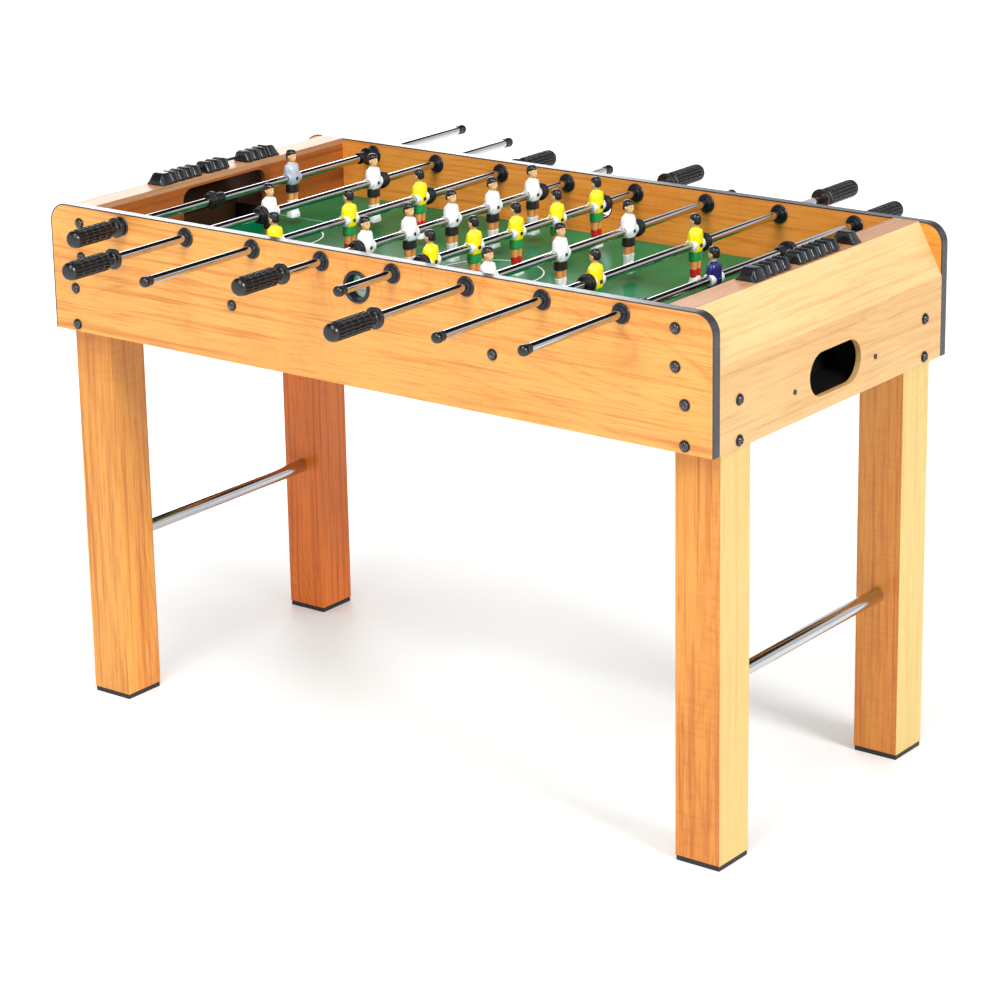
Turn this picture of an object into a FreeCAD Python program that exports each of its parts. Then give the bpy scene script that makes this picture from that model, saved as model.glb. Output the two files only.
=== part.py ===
"""Foosball table: a laminated box cabinet on four legs, with eight sliding and spinning rods.

Millimetres. Origin on the floor at the centre of the table. +X runs along the length of the
table to the right, +Y runs across it to the back, +Z is up.
"""
import FreeCAD, Part
import math
import os

V = FreeCAD.Vector

# ---- cabinet, overall ----
table_length = 1210.0
table_width = 616.0
table_height = 808.0
panel_height = 198.0
panel_thickness = 15.0
panel_corner_radius = 30.0
trim_thickness = 2.0
board_thickness = 9.0
board_gap = 0.2

# ---- table ends ----
ledge_width = 41.5
slope_run = 40.0
slope_drop = 76.0
goal_width = 196.0
goal_top_web = 13.0
goal_corner_radius = 20.0
return_length = 136.0
return_height = 64.0
tray_half_width = 102.5
tray_cheek_height = 104.0
end_bolt_inset = 31.0
tray_screw_height = 23.0

# ---- playfield ----
field_thickness = 3.0
field_below_rods = 75.0
rail_height = 26.0
rail_depth = 18.0
batten_width = 30.0
batten_height = 20.0
batten_pitch = 240.0

# ---- legs ----
leg_side = 73.0
leg_wall = 12.0
leg_in_cabinet = 90.0
leg_to_panel = 16.0
foot_pad_height = 8.0
foot_pad_inset = 1.0
cross_tube_radius = 11.0
cross_tube_wall = 1.5
cross_tube_height = 257.0
cross_tube_seat = 10.0
corner_block_depth = 40.0

# ---- rods ----
rod_count = 8
end_rod_to_goal = 66.2
rod_below_top = 19.5
rod_radius = 6.35
rod_wall = 1.2
running_clearance = 0.08
seat_clearance = 0.05
player_counts = [1, 2, 3, 5, 5, 3, 2, 1]
player_pitch = {1: 0.0, 2: 250.0, 3: 171.0, 5: 102.0}
grip_on_near_side = [True, True, False, True, False, True, False, False]
rest_share = [0.995, 0.049, -0.99, -0.06, -0.31, -0.973, -0.439, -0.964]
stop_gap = 0.5
goalie_stop_offset = 172.0
goalie_collar_length = 14.0
goalie_collar_wall = 3.1
goalie_collar_spacing = 6.0
grip_gap = {1: 3.6, 2: 19.3, 3: 18.6, 5: 21.6}
cap_gap = {1: 48.6, 2: 39.6, 3: 53.6, 5: 46.6}

# ---- rod bushings ----
bushing_sleeve_wall = 2.17
bushing_hub_rim = 1.4
bushing_flange_rim = 6.15
bushing_flange_thickness = 3.0
bushing_hub_height = 2.5

# ---- bumpers, grips and caps ----
bumper_tip_wall = 5.6
bumper_step = 2.0
bumper_length = 12.7
bumper_to_player = 0.4
grip_neck_wall = 3.6
grip_flange_rim = 5.5
grip_flange_thickness = 4.5
grip_barrel_rim = 3.8
grip_length = 98.0
grip_rib_count = 14
grip_ring_count = 5
grip_ring_depth = 1.7
grip_ring_width = 1.8
grip_slot_depth = 1.1
grip_slot_width = 1.8
grip_socket_depth = 60.0
cap_wall = 1.0
cap_bead = 0.6
cap_length = 18.0
cap_socket_depth = 10.0

# ---- players ----
player_half_width = 15.0
boss_wall = 4.1
head_radius = 8.6
head_top = 46.0
shoulder_height = 25.0
hip_drop = 10.0
shorts_drop = 22.0
sock_drop = 47.0
foot_drop = 64.0
foot_half_depth = 8.5
foot_half_width = 11.0
clamp_screw_radius = 2.4

# ---- ball entry ----
entry_below_top = 48.5
entry_flange_radius = 24.0
entry_flange_thickness = 3.5
entry_sleeve_radius = 20.5
entry_bore_radius = 18.2

# ---- scorers ----
scorer_length = 277.0
scorer_bracket_length = 23.5
scorer_width = 36.0
scorer_top_width = 20.0
scorer_height = 18.0
scorer_side_height = 4.0
scorer_nose_height = 6.5
scorer_nose_length = 8.0
bead_lift = 1.0
scorer_rod_radius = 2.5
scorer_rod_height = 9.5
scorer_rod_seat = 10.0
bead_length = 17.2
bead_spacing = 0.2
bead_ridge = 2.0
bead_side_gap = 0.5
bead_end_gap = 0.5
left_first_beads = 4
left_second_beads = 3
left_near_split = 13.0
right_near_beads = 4
beads_per_scorer = 10
right_near_gap = 23.0

# ---- bolts ----
bolt_head_radius = 6.6
bolt_head_height = 3.6
bolt_washer_radius = 8.4
bolt_washer_thickness = 1.4
bolt_shank_radius = 3.0
bolt_hole_radius = 3.2
bolt_socket_radius = 2.2
side_bolt_bite = 20.0
end_bolt_bite = 12.0
screw_head_radius = 3.6
screw_head_height = 1.5
screw_shank_radius = 1.6
screw_length = 24.0

# ---- places worked out from the sizes above ----
half_length = table_length / 2
half_width = table_width / 2
inner_y = half_width - panel_thickness
cabinet_bottom = table_height - panel_height
rod_z = table_height - rod_below_top
field_top = rod_z - field_below_rods
field_bottom = field_top - field_thickness
end_inner_x = half_length - board_thickness
ledge_outer_x = half_length - slope_run
goal_wall_x = ledge_outer_x - ledge_width
goal_back_x = goal_wall_x + board_thickness
crease_z = table_height - slope_drop
ledge_under_z = table_height - board_thickness
rod_pitch = 2 * (goal_wall_x - end_rod_to_goal) / (rod_count - 1)
running_bore = rod_radius + running_clearance
seat_bore = rod_radius + seat_clearance
bushing_sleeve_radius = running_bore + bushing_sleeve_wall
bushing_hub_radius = bushing_sleeve_radius + bushing_hub_rim
bushing_flange_radius = bushing_sleeve_radius + bushing_flange_rim
bumper_tip_radius = seat_bore + bumper_tip_wall
bumper_radius = bumper_tip_radius + bumper_step
goalie_collar_radius = seat_bore + goalie_collar_wall
grip_neck_radius = seat_bore + grip_neck_wall
grip_flange_radius = grip_neck_radius + grip_flange_rim
grip_radius = grip_neck_radius + grip_barrel_rim
cap_sleeve_radius = seat_bore + cap_wall
cap_radius = cap_sleeve_radius + cap_bead
boss_radius = seat_bore + boss_wall
leg_out_x = end_inner_x
leg_in_x = leg_out_x - leg_side
leg_mid_x = (leg_out_x + leg_in_x) / 2
leg_out_y = inner_y - leg_to_panel
leg_in_y = leg_out_y - leg_side
end_bolt_y = leg_out_y - end_bolt_inset
leg_top = cabinet_bottom + leg_in_cabinet
tray_floor_top = cabinet_bottom + 21.0
tray_bottom = tray_floor_top - board_thickness
return_mid_z = tray_floor_top + return_height / 2
tray_screw_z = tray_floor_top + tray_screw_height
bushing_reach = bushing_flange_thickness + bushing_hub_height
upper_bolt_x = goal_wall_x + ledge_width / 2
upper_bolt_heights = [table_height - 26.5, table_height - 79.5]
lower_bolt_heights = [cabinet_bottom + 68.0, cabinet_bottom + 11.0]
rail_bolt_z = field_bottom - rail_height / 2
entry_z = table_height - entry_below_top
bead_pitch = bead_length + bead_spacing
bumper_reach = player_half_width + bumper_to_player + bumper_length
made = []


def save(name, shapes):
    """Writes the solids of one sub-part to its own STEP file."""
    solids = [s for shape in shapes for s in shape.Solids]
    whole = solids[0] if len(solids) == 1 else Part.makeCompound(solids)
    whole.exportStep(os.path.join("parts", name + ".step"))
    made.append(name)


def block(x, y, z):
    """A box from three (low, high) pairs."""
    return Part.makeBox(x[1] - x[0], y[1] - y[0], z[1] - z[0], V(x[0], y[0], z[0]))


def rod_between(radius, start, end):
    """A round bar from one point to another."""
    way = end.sub(start)
    return Part.makeCylinder(radius, way.Length, start, way)


def prism_along_y(outline, y_low, y_high):
    """A solid with an (x, z) outline, carried along Y."""
    points = [V(x, y_low, z) for x, z in outline]
    face = Part.Face(Part.makePolygon(points + points[:1]))
    return face.extrude(V(0, y_high - y_low, 0))


def turned(outline, x, y, z, way):
    """A solid of revolution about a line along Y. The outline is (radius, distance) pairs."""
    points = [V(x + r, y + way * d, z) for r, d in outline]
    face = Part.Face(Part.makePolygon(points + points[:1]))
    return face.revolve(V(x, y, z), V(0, 1, 0), 360)


def mirror_x(shape):
    """The same shape at the other end of the table."""
    return shape.mirror(V(0, 0, 0), V(1, 0, 0))


def mirror_y(shape):
    """The same shape on the other side of the table."""
    return shape.mirror(V(0, 0, 0), V(0, 1, 0))


def both_ends(shapes):
    """The shapes of the right end, and their mirror images at the left end."""
    return shapes + [mirror_x(s) for s in shapes]


def all_corners(shape):
    """A shape of the back right corner, and its three mirror images."""
    back = both_ends([shape])
    return back + [mirror_y(s) for s in back]


def rod_x(index):
    """Where a rod lies along the table, the rods being numbered from 0 at the left."""
    return (index - (rod_count - 1) / 2) * rod_pitch


# ---- cabinet ----
def arch_face(inset, y):
    """The outline of a side panel, set in from its rounded top and its ends."""
    x_end = half_length - inset
    top = table_height - inset
    r = panel_corner_radius - inset
    k = r * (1 - math.cos(math.pi / 4))
    left_top, right_top = V(-x_end + r, y, top), V(x_end - r, y, top)
    left_low, right_low = V(-x_end, y, top - r), V(x_end, y, top - r)
    edges = [
        Part.LineSegment(V(-x_end, y, cabinet_bottom), left_low).toShape(),
        Part.Arc(left_low, V(-x_end + k, y, top - k), left_top).toShape(),
        Part.LineSegment(left_top, right_top).toShape(),
        Part.Arc(right_top, V(x_end - k, y, top - k), right_low).toShape(),
        Part.LineSegment(right_low, V(x_end, y, cabinet_bottom)).toShape(),
        Part.LineSegment(V(x_end, y, cabinet_bottom), V(-x_end, y, cabinet_bottom)).toShape(),
    ]
    return Part.Face(Part.Wire(edges))


def side_bolt_places():
    """Where the bolts stand on a side panel, as (x, z) pairs."""
    places = [(s * upper_bolt_x, z) for s in (-1, 1) for z in upper_bolt_heights]
    places += [(s * leg_mid_x, z) for s in (-1, 1) for z in lower_bolt_heights]
    places += [(s * batten_pitch, rail_bolt_z) for s in (-1, 1)]
    return places


def back_panel():
    """The back side panel, drilled for its bushings, its ball entry and its bolts."""
    panel = arch_face(trim_thickness, inner_y).extrude(V(0, panel_thickness, 0))
    low, high = inner_y - 1, half_width + 1
    holes = []
    for i in range(rod_count):
        hole = bushing_sleeve_radius + board_gap
        holes.append(rod_between(hole, V(rod_x(i), low, rod_z), V(rod_x(i), high, rod_z)))
    entry = entry_sleeve_radius + board_gap
    holes.append(rod_between(entry, V(0, low, entry_z), V(0, high, entry_z)))
    for x, z in side_bolt_places():
        holes.append(rod_between(bolt_hole_radius, V(x, low, z), V(x, high, z)))
    return panel.cut(holes)


def back_trim():
    """The edge band round the top and the ends of the back panel."""
    outer = arch_face(0, inner_y).extrude(V(0, panel_thickness, 0))
    inner = arch_face(trim_thickness, inner_y).extrude(V(0, panel_thickness, 0))
    return outer.cut(inner)


def slope_inner_points():
    """The two inner corners of the sloping board, where its offset face meets its neighbours."""
    length = math.hypot(slope_run, slope_drop)
    along_x, along_z = -slope_run / length, slope_drop / length
    start_x = half_length - board_thickness * along_z
    start_z = crease_z + board_thickness * along_x
    low_z = start_z + (end_inner_x - start_x) / along_x * along_z
    high_x = start_x + (ledge_under_z - start_z) / along_z * along_x
    return low_z, high_x


def end_span():
    """How far the boards across the table reach to each side."""
    return inner_y - board_gap / 2


def right_end_panel():
    """The upright board of the right end, with its oval ball return and its bolt holes."""
    low_z, _ = slope_inner_points()
    outline = [(half_length, cabinet_bottom), (half_length, crease_z), (end_inner_x, low_z)]
    outline.append((end_inner_x, cabinet_bottom))
    panel = prism_along_y(outline, -end_span(), end_span())
    low, high = end_inner_x - 1, half_length + 1
    r = return_height / 2
    reach = return_length / 2 - r
    holes = [block((low, high), (-reach, reach), (return_mid_z - r, return_mid_z + r))]
    for y in (-reach, reach):
        holes.append(rod_between(r, V(low, y, return_mid_z), V(high, y, return_mid_z)))
    for y in (-end_bolt_y, end_bolt_y):
        for z in lower_bolt_heights:
            holes.append(rod_between(bolt_hole_radius, V(low, y, z), V(high, y, z)))
    for y in (-tray_cheek_mid(), tray_cheek_mid()):
        hole = screw_shank_radius + board_gap
        holes.append(rod_between(hole, V(low, y, tray_screw_z), V(high, y, tray_screw_z)))
    return panel.cut(holes)


def right_slope():
    """The sloping board between the ledge and the upright end board."""
    low_z, high_x = slope_inner_points()
    outline = [(half_length, crease_z), (ledge_outer_x, table_height)]
    outline += [(high_x, ledge_under_z), (end_inner_x, low_z)]
    return prism_along_y(outline, -end_span(), end_span())


def right_ledge():
    """The flat top board of the right end."""
    _, high_x = slope_inner_points()
    outline = [(goal_wall_x, table_height), (ledge_outer_x, table_height)]
    outline += [(high_x, ledge_under_z), (goal_wall_x, ledge_under_z)]
    return prism_along_y(outline, -end_span(), end_span())


def right_goal_wall():
    """The board behind the goal line, with a goal mouth rounded at its top corners."""
    wall = block((goal_wall_x, goal_back_x), (-end_span(), end_span()), (field_bottom, ledge_under_z))
    half = goal_width / 2
    top = ledge_under_z - goal_top_web + board_thickness
    r = goal_corner_radius
    low, high = goal_wall_x - 1, goal_back_x + 1
    mouth = block((low, high), (-half, half), (field_top, top - r))
    mouth = mouth.fuse(block((low, high), (-half + r, half - r), (field_top, top)))
    for y in (-half + r, half - r):
        mouth = mouth.fuse(rod_between(r, V(low, y, top - r), V(high, y, top - r)))
    return wall.cut(mouth)


def tray_cheek_mid():
    """The middle plane of a tray cheek."""
    return tray_half_width + board_thickness / 2


def right_ball_tray():
    """The box behind the goal: a floor, two cheeks and a board under the playfield's end."""
    outer = tray_half_width + board_thickness
    x_span = (goal_back_x, end_inner_x)
    floor = block(x_span, (-tray_half_width, tray_half_width), (tray_bottom, tray_floor_top))
    back = block((goal_wall_x, goal_back_x), (-outer, outer), (tray_bottom, field_bottom))
    boards = [floor, back]
    cheek = block(x_span, (tray_half_width, outer), (tray_bottom, tray_bottom + tray_cheek_height))
    depth = screw_length + 1
    hole = rod_between(screw_shank_radius, V(end_inner_x - depth, tray_cheek_mid(), tray_screw_z),
                       V(end_inner_x + 1, tray_cheek_mid(), tray_screw_z))
    cheek = cheek.cut(hole)
    return boards + [cheek, mirror_y(cheek)]


def playfield():
    """The flat board that the ball rolls on."""
    reach = goal_wall_x - board_gap
    return block((-reach, reach), (-end_span(), end_span()), (field_bottom, field_top))


def field_supports():
    """Two rails along the side panels, and three battens across under the playfield."""
    rail_end = leg_in_x - board_thickness
    rail = block((-rail_end, rail_end), (inner_y - rail_depth, inner_y),
                 (field_bottom - rail_height, field_bottom))
    for s in (-1, 1):
        start = V(s * batten_pitch, inner_y - rail_depth - 1, rail_bolt_z)
        rail = rail.cut(rod_between(bolt_shank_radius, start, start.add(V(0, rail_depth + 2, 0))))
    reach = inner_y - rail_depth
    battens = []
    for s in (-1, 0, 1):
        x = s * batten_pitch
        battens.append(block((x - batten_width / 2, x + batten_width / 2), (-reach, reach),
                             (field_bottom - batten_height, field_bottom)))
    return [rail, mirror_y(rail)] + battens


# ---- legs ----
def back_right_leg():
    """A hollow square leg, drilled for its bolts and for the cross tube."""
    leg = block((leg_in_x, leg_out_x), (leg_in_y, leg_out_y), (foot_pad_height, leg_top))
    core = block((leg_in_x + leg_wall, leg_out_x - leg_wall), (leg_in_y + leg_wall, leg_out_y - leg_wall),
                 (foot_pad_height + leg_wall, leg_top - leg_wall))
    leg = leg.cut(core)
    holes = []
    for z in lower_bolt_heights:
        start = V(leg_mid_x, leg_out_y - leg_wall - 1, z)
        holes.append(rod_between(bolt_shank_radius, start, V(leg_mid_x, leg_out_y + 1, z)))
        start = V(leg_out_x - leg_wall - 1, end_bolt_y, z)
        holes.append(rod_between(bolt_shank_radius, start, V(leg_out_x + 1, end_bolt_y, z)))
    start = V(leg_mid_x, leg_in_y - 1, cross_tube_height)
    seat = V(leg_mid_x, leg_in_y + cross_tube_seat, cross_tube_height)
    holes.append(rod_between(cross_tube_radius + seat_clearance, start, seat))
    return leg.cut(holes)


def back_right_foot():
    """The rubber pad under a leg."""
    i = foot_pad_inset
    return block((leg_in_x + i, leg_out_x - i), (leg_in_y + i, leg_out_y - i), (0, foot_pad_height))


def right_cross_tube():
    """The chromed tube between the front and the back leg."""
    reach = leg_in_y + cross_tube_seat
    start, end = V(leg_mid_x, -reach, cross_tube_height), V(leg_mid_x, reach, cross_tube_height)
    tube = rod_between(cross_tube_radius, start, end)
    return tube.cut(rod_between(cross_tube_radius - cross_tube_wall, start, end))


def back_right_blocks():
    """The spacer between the leg and the side panel, and the block under the ledge's end."""
    spacer = block((leg_in_x + board_thickness, leg_out_x), (leg_out_y, inner_y),
                   (cabinet_bottom, leg_top))
    for z in lower_bolt_heights:
        spacer = spacer.cut(rod_between(bolt_shank_radius, V(leg_mid_x, leg_out_y - 1, z),
                                        V(leg_mid_x, inner_y + 1, z)))
    _, high_x = slope_inner_points()
    block_x = (goal_back_x, high_x)
    corner = block(block_x, (inner_y - corner_block_depth, inner_y), (field_bottom, ledge_under_z))
    for z in upper_bolt_heights:
        start = V(upper_bolt_x, inner_y - side_bolt_bite - 1, z)
        corner = corner.cut(rod_between(bolt_shank_radius, start, V(upper_bolt_x, inner_y + 1, z)))
    return [spacer, corner]


# ---- fasteners ----
def bolt(start, way, length):
    """A dome-headed socket bolt with its washer. Start is on the face that the washer lies on."""
    shank = Part.makeCylinder(bolt_shank_radius, length + bolt_washer_thickness,
                              start.add(V(*way).multiply(bolt_washer_thickness)), V(*way).negative())
    seat = start.add(V(*way).multiply(bolt_washer_thickness))
    head = Part.makeCylinder(bolt_head_radius, bolt_head_height, seat, V(*way))
    rim = [e for e in head.Edges if e.isClosed() and e.CenterOfMass.sub(seat).Length > bolt_head_height / 2]
    head = head.makeFillet(bolt_head_height * 0.8, rim)
    socket = Part.makeCylinder(bolt_socket_radius, bolt_head_height, seat.add(V(*way).multiply(2.0)), V(*way))
    washer = Part.makeCylinder(bolt_washer_radius, bolt_washer_thickness, start, V(*way))
    washer = washer.cut(Part.makeCylinder(bolt_hole_radius, bolt_washer_thickness, start, V(*way)))
    return [head.cut(socket).fuse(shank).removeSplitter(), washer]


def cabinet_bolts():
    """The bolts through the side panels and the end panels."""
    parts = []
    for x, z in side_bolt_places():
        bite = side_bolt_bite
        if z == rail_bolt_z:
            bite = rail_depth
        if z in lower_bolt_heights:
            bite = leg_to_panel + leg_wall
        back = bolt(V(x, half_width, z), (0, 1, 0), panel_thickness + bite)
        parts += back + [mirror_y(s) for s in back]
    for y in (-end_bolt_y, end_bolt_y):
        for z in lower_bolt_heights:
            parts += both_ends(bolt(V(half_length, y, z), (1, 0, 0), board_thickness + end_bolt_bite))
    return parts


def right_tray_screws():
    """The two small screws beside the ball return, which hold the tray's cheeks."""
    screws = []
    for y in (-tray_cheek_mid(), tray_cheek_mid()):
        head = Part.makeCylinder(screw_head_radius, screw_head_height, V(half_length, y, tray_screw_z), V(1, 0, 0))
        start = V(half_length - screw_length, y, tray_screw_z)
        screws.append(head.fuse(rod_between(screw_shank_radius, start, V(half_length, y, tray_screw_z))))
    return screws


# ---- bushings and ball entry ----
def back_bushing(index):
    """The outer half of a rod bushing: a flange, a raised hub and the sleeve through the panel."""
    bore = running_bore
    inner_end = panel_thickness + bushing_reach
    f, h = bushing_flange_radius, bushing_hub_radius
    outline = [(bore, -bushing_reach), (h - 0.8, -bushing_reach), (h, -bushing_reach + 0.8)]
    outline += [(h, -bushing_flange_thickness), (f - 1.2, -bushing_flange_thickness)]
    outline += [(f, -bushing_flange_thickness + 1.4), (f, 0), (bushing_sleeve_radius, 0)]
    outline += [(bushing_sleeve_radius, inner_end), (bore, inner_end)]
    return turned(outline, rod_x(index), half_width, rod_z, -1)


def back_bushing_nut(index):
    """The inner flange that holds a bushing from inside the cabinet."""
    bore = bushing_sleeve_radius + seat_clearance
    f, h, t = bushing_flange_radius, bushing_hub_radius, bushing_flange_thickness
    outline = [(bore, 0), (f, 0), (f, t - 1.4), (f - 1.2, t), (h, t), (h, bushing_reach - 0.8)]
    outline += [(h - 0.8, bushing_reach), (bore, bushing_reach)]
    return turned(outline, rod_x(index), inner_y, rod_z, -1)


def back_entry_ring():
    """The lined hole that the ball is served through."""
    f, t = entry_flange_radius, entry_flange_thickness
    outline = [(entry_bore_radius + 1.5, -t), (f - 1.5, -t), (f, -t + 1.5), (f, 0), (entry_sleeve_radius, 0)]
    outline += [(entry_sleeve_radius, panel_thickness), (entry_bore_radius, panel_thickness)]
    outline += [(entry_bore_radius, -t + 1.5)]
    return turned(outline, 0, half_width, entry_z, -1)


# ---- rods ----
def outer_player(count):
    """How far the outermost player stands from the middle of its group."""
    return player_pitch[count] * (count - 1) / 2


def stop_offset(count):
    """How far from the middle of the group the stop ring's neighbour stands."""
    return goalie_stop_offset if count == 1 else outer_player(count)


def travel(count):
    """How far a rod slides to each side before its bumper meets the bushing."""
    return inner_y - bushing_reach - stop_offset(count) - bumper_reach - stop_gap


def rest_offset(index):
    """Where a rod's middle stands at rest, as a share of its travel."""
    return rest_share[index] * travel(player_counts[index])


def grip_start(count):
    """How far the grip's flange stands from the middle of the group."""
    return half_width + bushing_reach + travel(count) + grip_gap[count]


def cap_end(count):
    """How far the tip of the end cap stands from the middle of the group."""
    return half_width + bushing_reach + travel(count) + cap_gap[count]


def rod_tube(index):
    """The hollow steel rod, from inside its cap to inside its grip."""
    count, way = player_counts[index], -1 if grip_on_near_side[index] else 1
    x, y = rod_x(index), rest_offset(index)
    start = V(x, y - way * (cap_end(count) - cap_length + cap_socket_depth), rod_z)
    end = V(x, y + way * (grip_start(count) + grip_socket_depth), rod_z)
    return rod_between(rod_radius, start, end).cut(rod_between(rod_radius - rod_wall, start, end))


def grip(index):
    """A moulded handle: a flange, a neck and a barrel with ribs cut across by rings."""
    count, way = player_counts[index], -1 if grip_on_near_side[index] else 1
    x, y = rod_x(index), rest_offset(index) + way * grip_start(count)
    bore, neck_end = seat_bore, 18.0
    rib_start, rib_end = 22.0, grip_length - 14.0
    pitch = (rib_end - rib_start) / (grip_ring_count - 1)
    outline = [(bore, 0), (grip_flange_radius - 1, 0), (grip_flange_radius, 1)]
    outline += [(grip_flange_radius, grip_flange_thickness - 1), (grip_flange_radius - 1, grip_flange_thickness)]
    outline += [(grip_neck_radius, grip_flange_thickness + 3), (grip_neck_radius, neck_end - 4)]
    outline += [(grip_radius - 1, neck_end)]
    for k in range(grip_ring_count):
        mid = rib_start + k * pitch
        outline += [(grip_radius, mid - grip_ring_width / 2), (grip_radius - grip_ring_depth, mid - 0.4)]
        outline += [(grip_radius - grip_ring_depth, mid + 0.4), (grip_radius, mid + grip_ring_width / 2)]
    dome = grip_length - rib_end - grip_ring_width
    for k in range(1, 7):
        angle = math.pi / 2 * k / 7
        outline.append((grip_radius - 7 + 7 * math.cos(angle), grip_length - dome * (1 - math.sin(angle))))
    outline += [(0, grip_length), (0, grip_socket_depth), (bore, grip_socket_depth)]
    body = turned(outline, x, y, rod_z, way)
    slot = Part.makeBox(grip_slot_depth + 1, rib_end - rib_start, grip_slot_width)
    slot.translate(V(grip_radius - grip_slot_depth, rib_start if way > 0 else -rib_end, -grip_slot_width / 2))
    slots = []
    for k in range(grip_rib_count):
        copy = slot.copy()
        copy.rotate(V(0, 0, 0), V(0, 1, 0), 360.0 * k / grip_rib_count)
        copy.translate(V(x, y, rod_z))
        slots.append(copy)
    return body.cut(slots)


def cap(index):
    """The rounded plastic cap on the other end of a rod."""
    count, way = player_counts[index], 1 if grip_on_near_side[index] else -1
    x, y = rod_x(index), rest_offset(index) + way * (cap_end(count) - cap_length)
    bore, dome = seat_bore, 6.0
    outline = [(bore, 0), (cap_sleeve_radius, 0), (cap_sleeve_radius, cap_length - dome - 5)]
    outline.append((cap_radius, cap_length - dome - 4))
    for k in range(0, 7):
        angle = math.pi / 2 * k / 7
        outline.append((cap_radius * math.cos(angle), cap_length - dome * (1 - math.sin(angle))))
    outline += [(0, cap_length), (0, cap_socket_depth), (bore, cap_socket_depth)]
    return turned(outline, x, y, rod_z, way)


def bumper(x, y, way):
    """A stepped rubber bumper. Its wide end starts at y, and its tip points along way."""
    bore, wide, tip = seat_bore, bumper_radius, bumper_tip_radius
    step = bumper_length * 0.55
    outline = [(bore, 0), (wide - 1, 0), (wide, 1), (wide, step - 1), (wide - 1, step), (tip - 1, step)]
    outline += [(tip - 1, step + 1), (tip, step + 1.6), (tip, bumper_length - 1), (tip - 1, bumper_length)]
    outline.append((bore, bumper_length))
    return turned(outline, x, y, rod_z, way)


def bumpers(index):
    """The two bumpers of a rod, with a collar beside each on a goalkeeper's rod."""
    count = player_counts[index]
    x, y = rod_x(index), rest_offset(index)
    face = stop_offset(count) + player_half_width + bumper_to_player
    parts = []
    for way in (-1, 1):
        parts.append(bumper(x, y + way * face, way))
        if count == 1:
            start, end = face - goalie_collar_length - goalie_collar_spacing, face - goalie_collar_spacing
            outline = [(seat_bore, start), (goalie_collar_radius, start), (goalie_collar_radius, end), (seat_bore, end)]
            parts.append(turned(outline, x, y, rod_z, way))
    return parts


def player(x, y):
    """One player: a head, a shirt round the rod, shorts, legs and a block foot."""
    z = rod_z
    head = Part.makeSphere(head_radius, V(x, y, z + head_top - head_radius))
    neck = Part.makeCylinder(4.5, head_top - head_radius - shoulder_height + 4, V(x, y, z + shoulder_height - 4))
    w = player_half_width - 1
    shirt = block((x - 8.5, x + 8.5), (y - w, y + w), (z - hip_drop, z + shoulder_height))
    shirt = shirt.makeFillet(6.0, [e for e in shirt.Edges if e.BoundBox.ZLength > 20])
    boss = rod_between(boss_radius, V(x, y - player_half_width, z), V(x, y + player_half_width, z))
    shorts = block((x - 8, x + 8), (y - 12, y + 12), (z - shorts_drop, z - hip_drop + 2))
    legs = block((x - 5.5, x + 5.5), (y - 9, y + 9), (z - sock_drop, z - shorts_drop))
    foot = block((x - foot_half_depth, x + foot_half_depth), (y - foot_half_width, y + foot_half_width),
                 (z - foot_drop, z - sock_drop))
    body = shirt.fuse([head, neck, boss, shorts, legs, foot])
    bore = rod_between(seat_bore, V(x, y - 20, z), V(x, y + 20, z))
    screw_hole = rod_between(clamp_screw_radius + seat_clearance, V(x, y, z), V(x + 20, y, z))
    return body.cut([bore, screw_hole]).removeSplitter()


def clamp_screw(x, y):
    """The small screw that clamps a player on its rod."""
    start = V(x + seat_bore, y, rod_z)
    return rod_between(clamp_screw_radius, start, V(x + boss_radius - 0.5, y, rod_z))


def players(index):
    """The players of one rod, each with its clamp screw."""
    count = player_counts[index]
    x = rod_x(index)
    parts = []
    for k in range(count):
        y = rest_offset(index) + (k - (count - 1) / 2) * player_pitch[count]
        parts += [player(x, y), clamp_screw(x, y)]
    return parts


# ---- scorers ----
def scorer_section(x, y, half_base, half_top, low, high):
    """A hipped outline across the ledge: short upright sides, then slopes up to a flat top."""
    side = low + scorer_side_height
    points = [V(x - half_base, y, low), V(x + half_base, y, low), V(x + half_base, y, side),
              V(x + half_top, y, high), V(x - half_top, y, high), V(x - half_base, y, side)]
    return Part.makePolygon(points + points[:1])


def scorer_frame(x):
    """Two end brackets, each with a sloping nose, and the thin rod between them."""
    half = scorer_length / 2
    base, top = scorer_width / 2, scorer_top_width / 2
    low, high, tip = table_height, table_height + scorer_height, table_height + scorer_nose_height
    z = table_height + scorer_rod_height
    nose = scorer_section(x, -half, base, base - 1, low, tip)
    crest = scorer_section(x, -half + scorer_nose_length, base, top, low, high)
    face = scorer_section(x, -half + scorer_bracket_length, base, top, low, high)
    near = Part.makeLoft([nose, crest], True, True).fuse(Part.makeLoft([crest, face], True, True))
    reach = half - scorer_bracket_length + scorer_rod_seat
    seat = rod_between(scorer_rod_radius + seat_clearance, V(x, -reach, z), V(x, 0, z))
    near = near.removeSplitter().cut(seat)
    return [near, mirror_y(near), rod_between(scorer_rod_radius, V(x, -reach, z), V(x, reach, z))]


def bead(x, y_start):
    """One counting bead: a hipped block, widest in its middle, that slides on the thin rod."""
    base, top = scorer_width / 2 - bead_side_gap, scorer_top_width / 2
    low, high = table_height + bead_lift, table_height + scorer_height - bead_side_gap
    sections = []
    for share, ridge in ((0, bead_ridge), (0.5, 0), (1, bead_ridge)):
        y = y_start + share * bead_length
        sections.append(scorer_section(x, y, base - ridge, top - ridge, low, high - ridge))
    body = Part.makeLoft(sections, True, True)
    z = table_height + scorer_rod_height
    bore = scorer_rod_radius + running_clearance
    return body.cut(rod_between(bore, V(x, y_start - 1, z), V(x, y_start + bead_length + 1, z)))


def bead_row(x, y_start, count):
    """A row of beads that stand together."""
    return [bead(x, y_start + k * bead_pitch) for k in range(count)]


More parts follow.
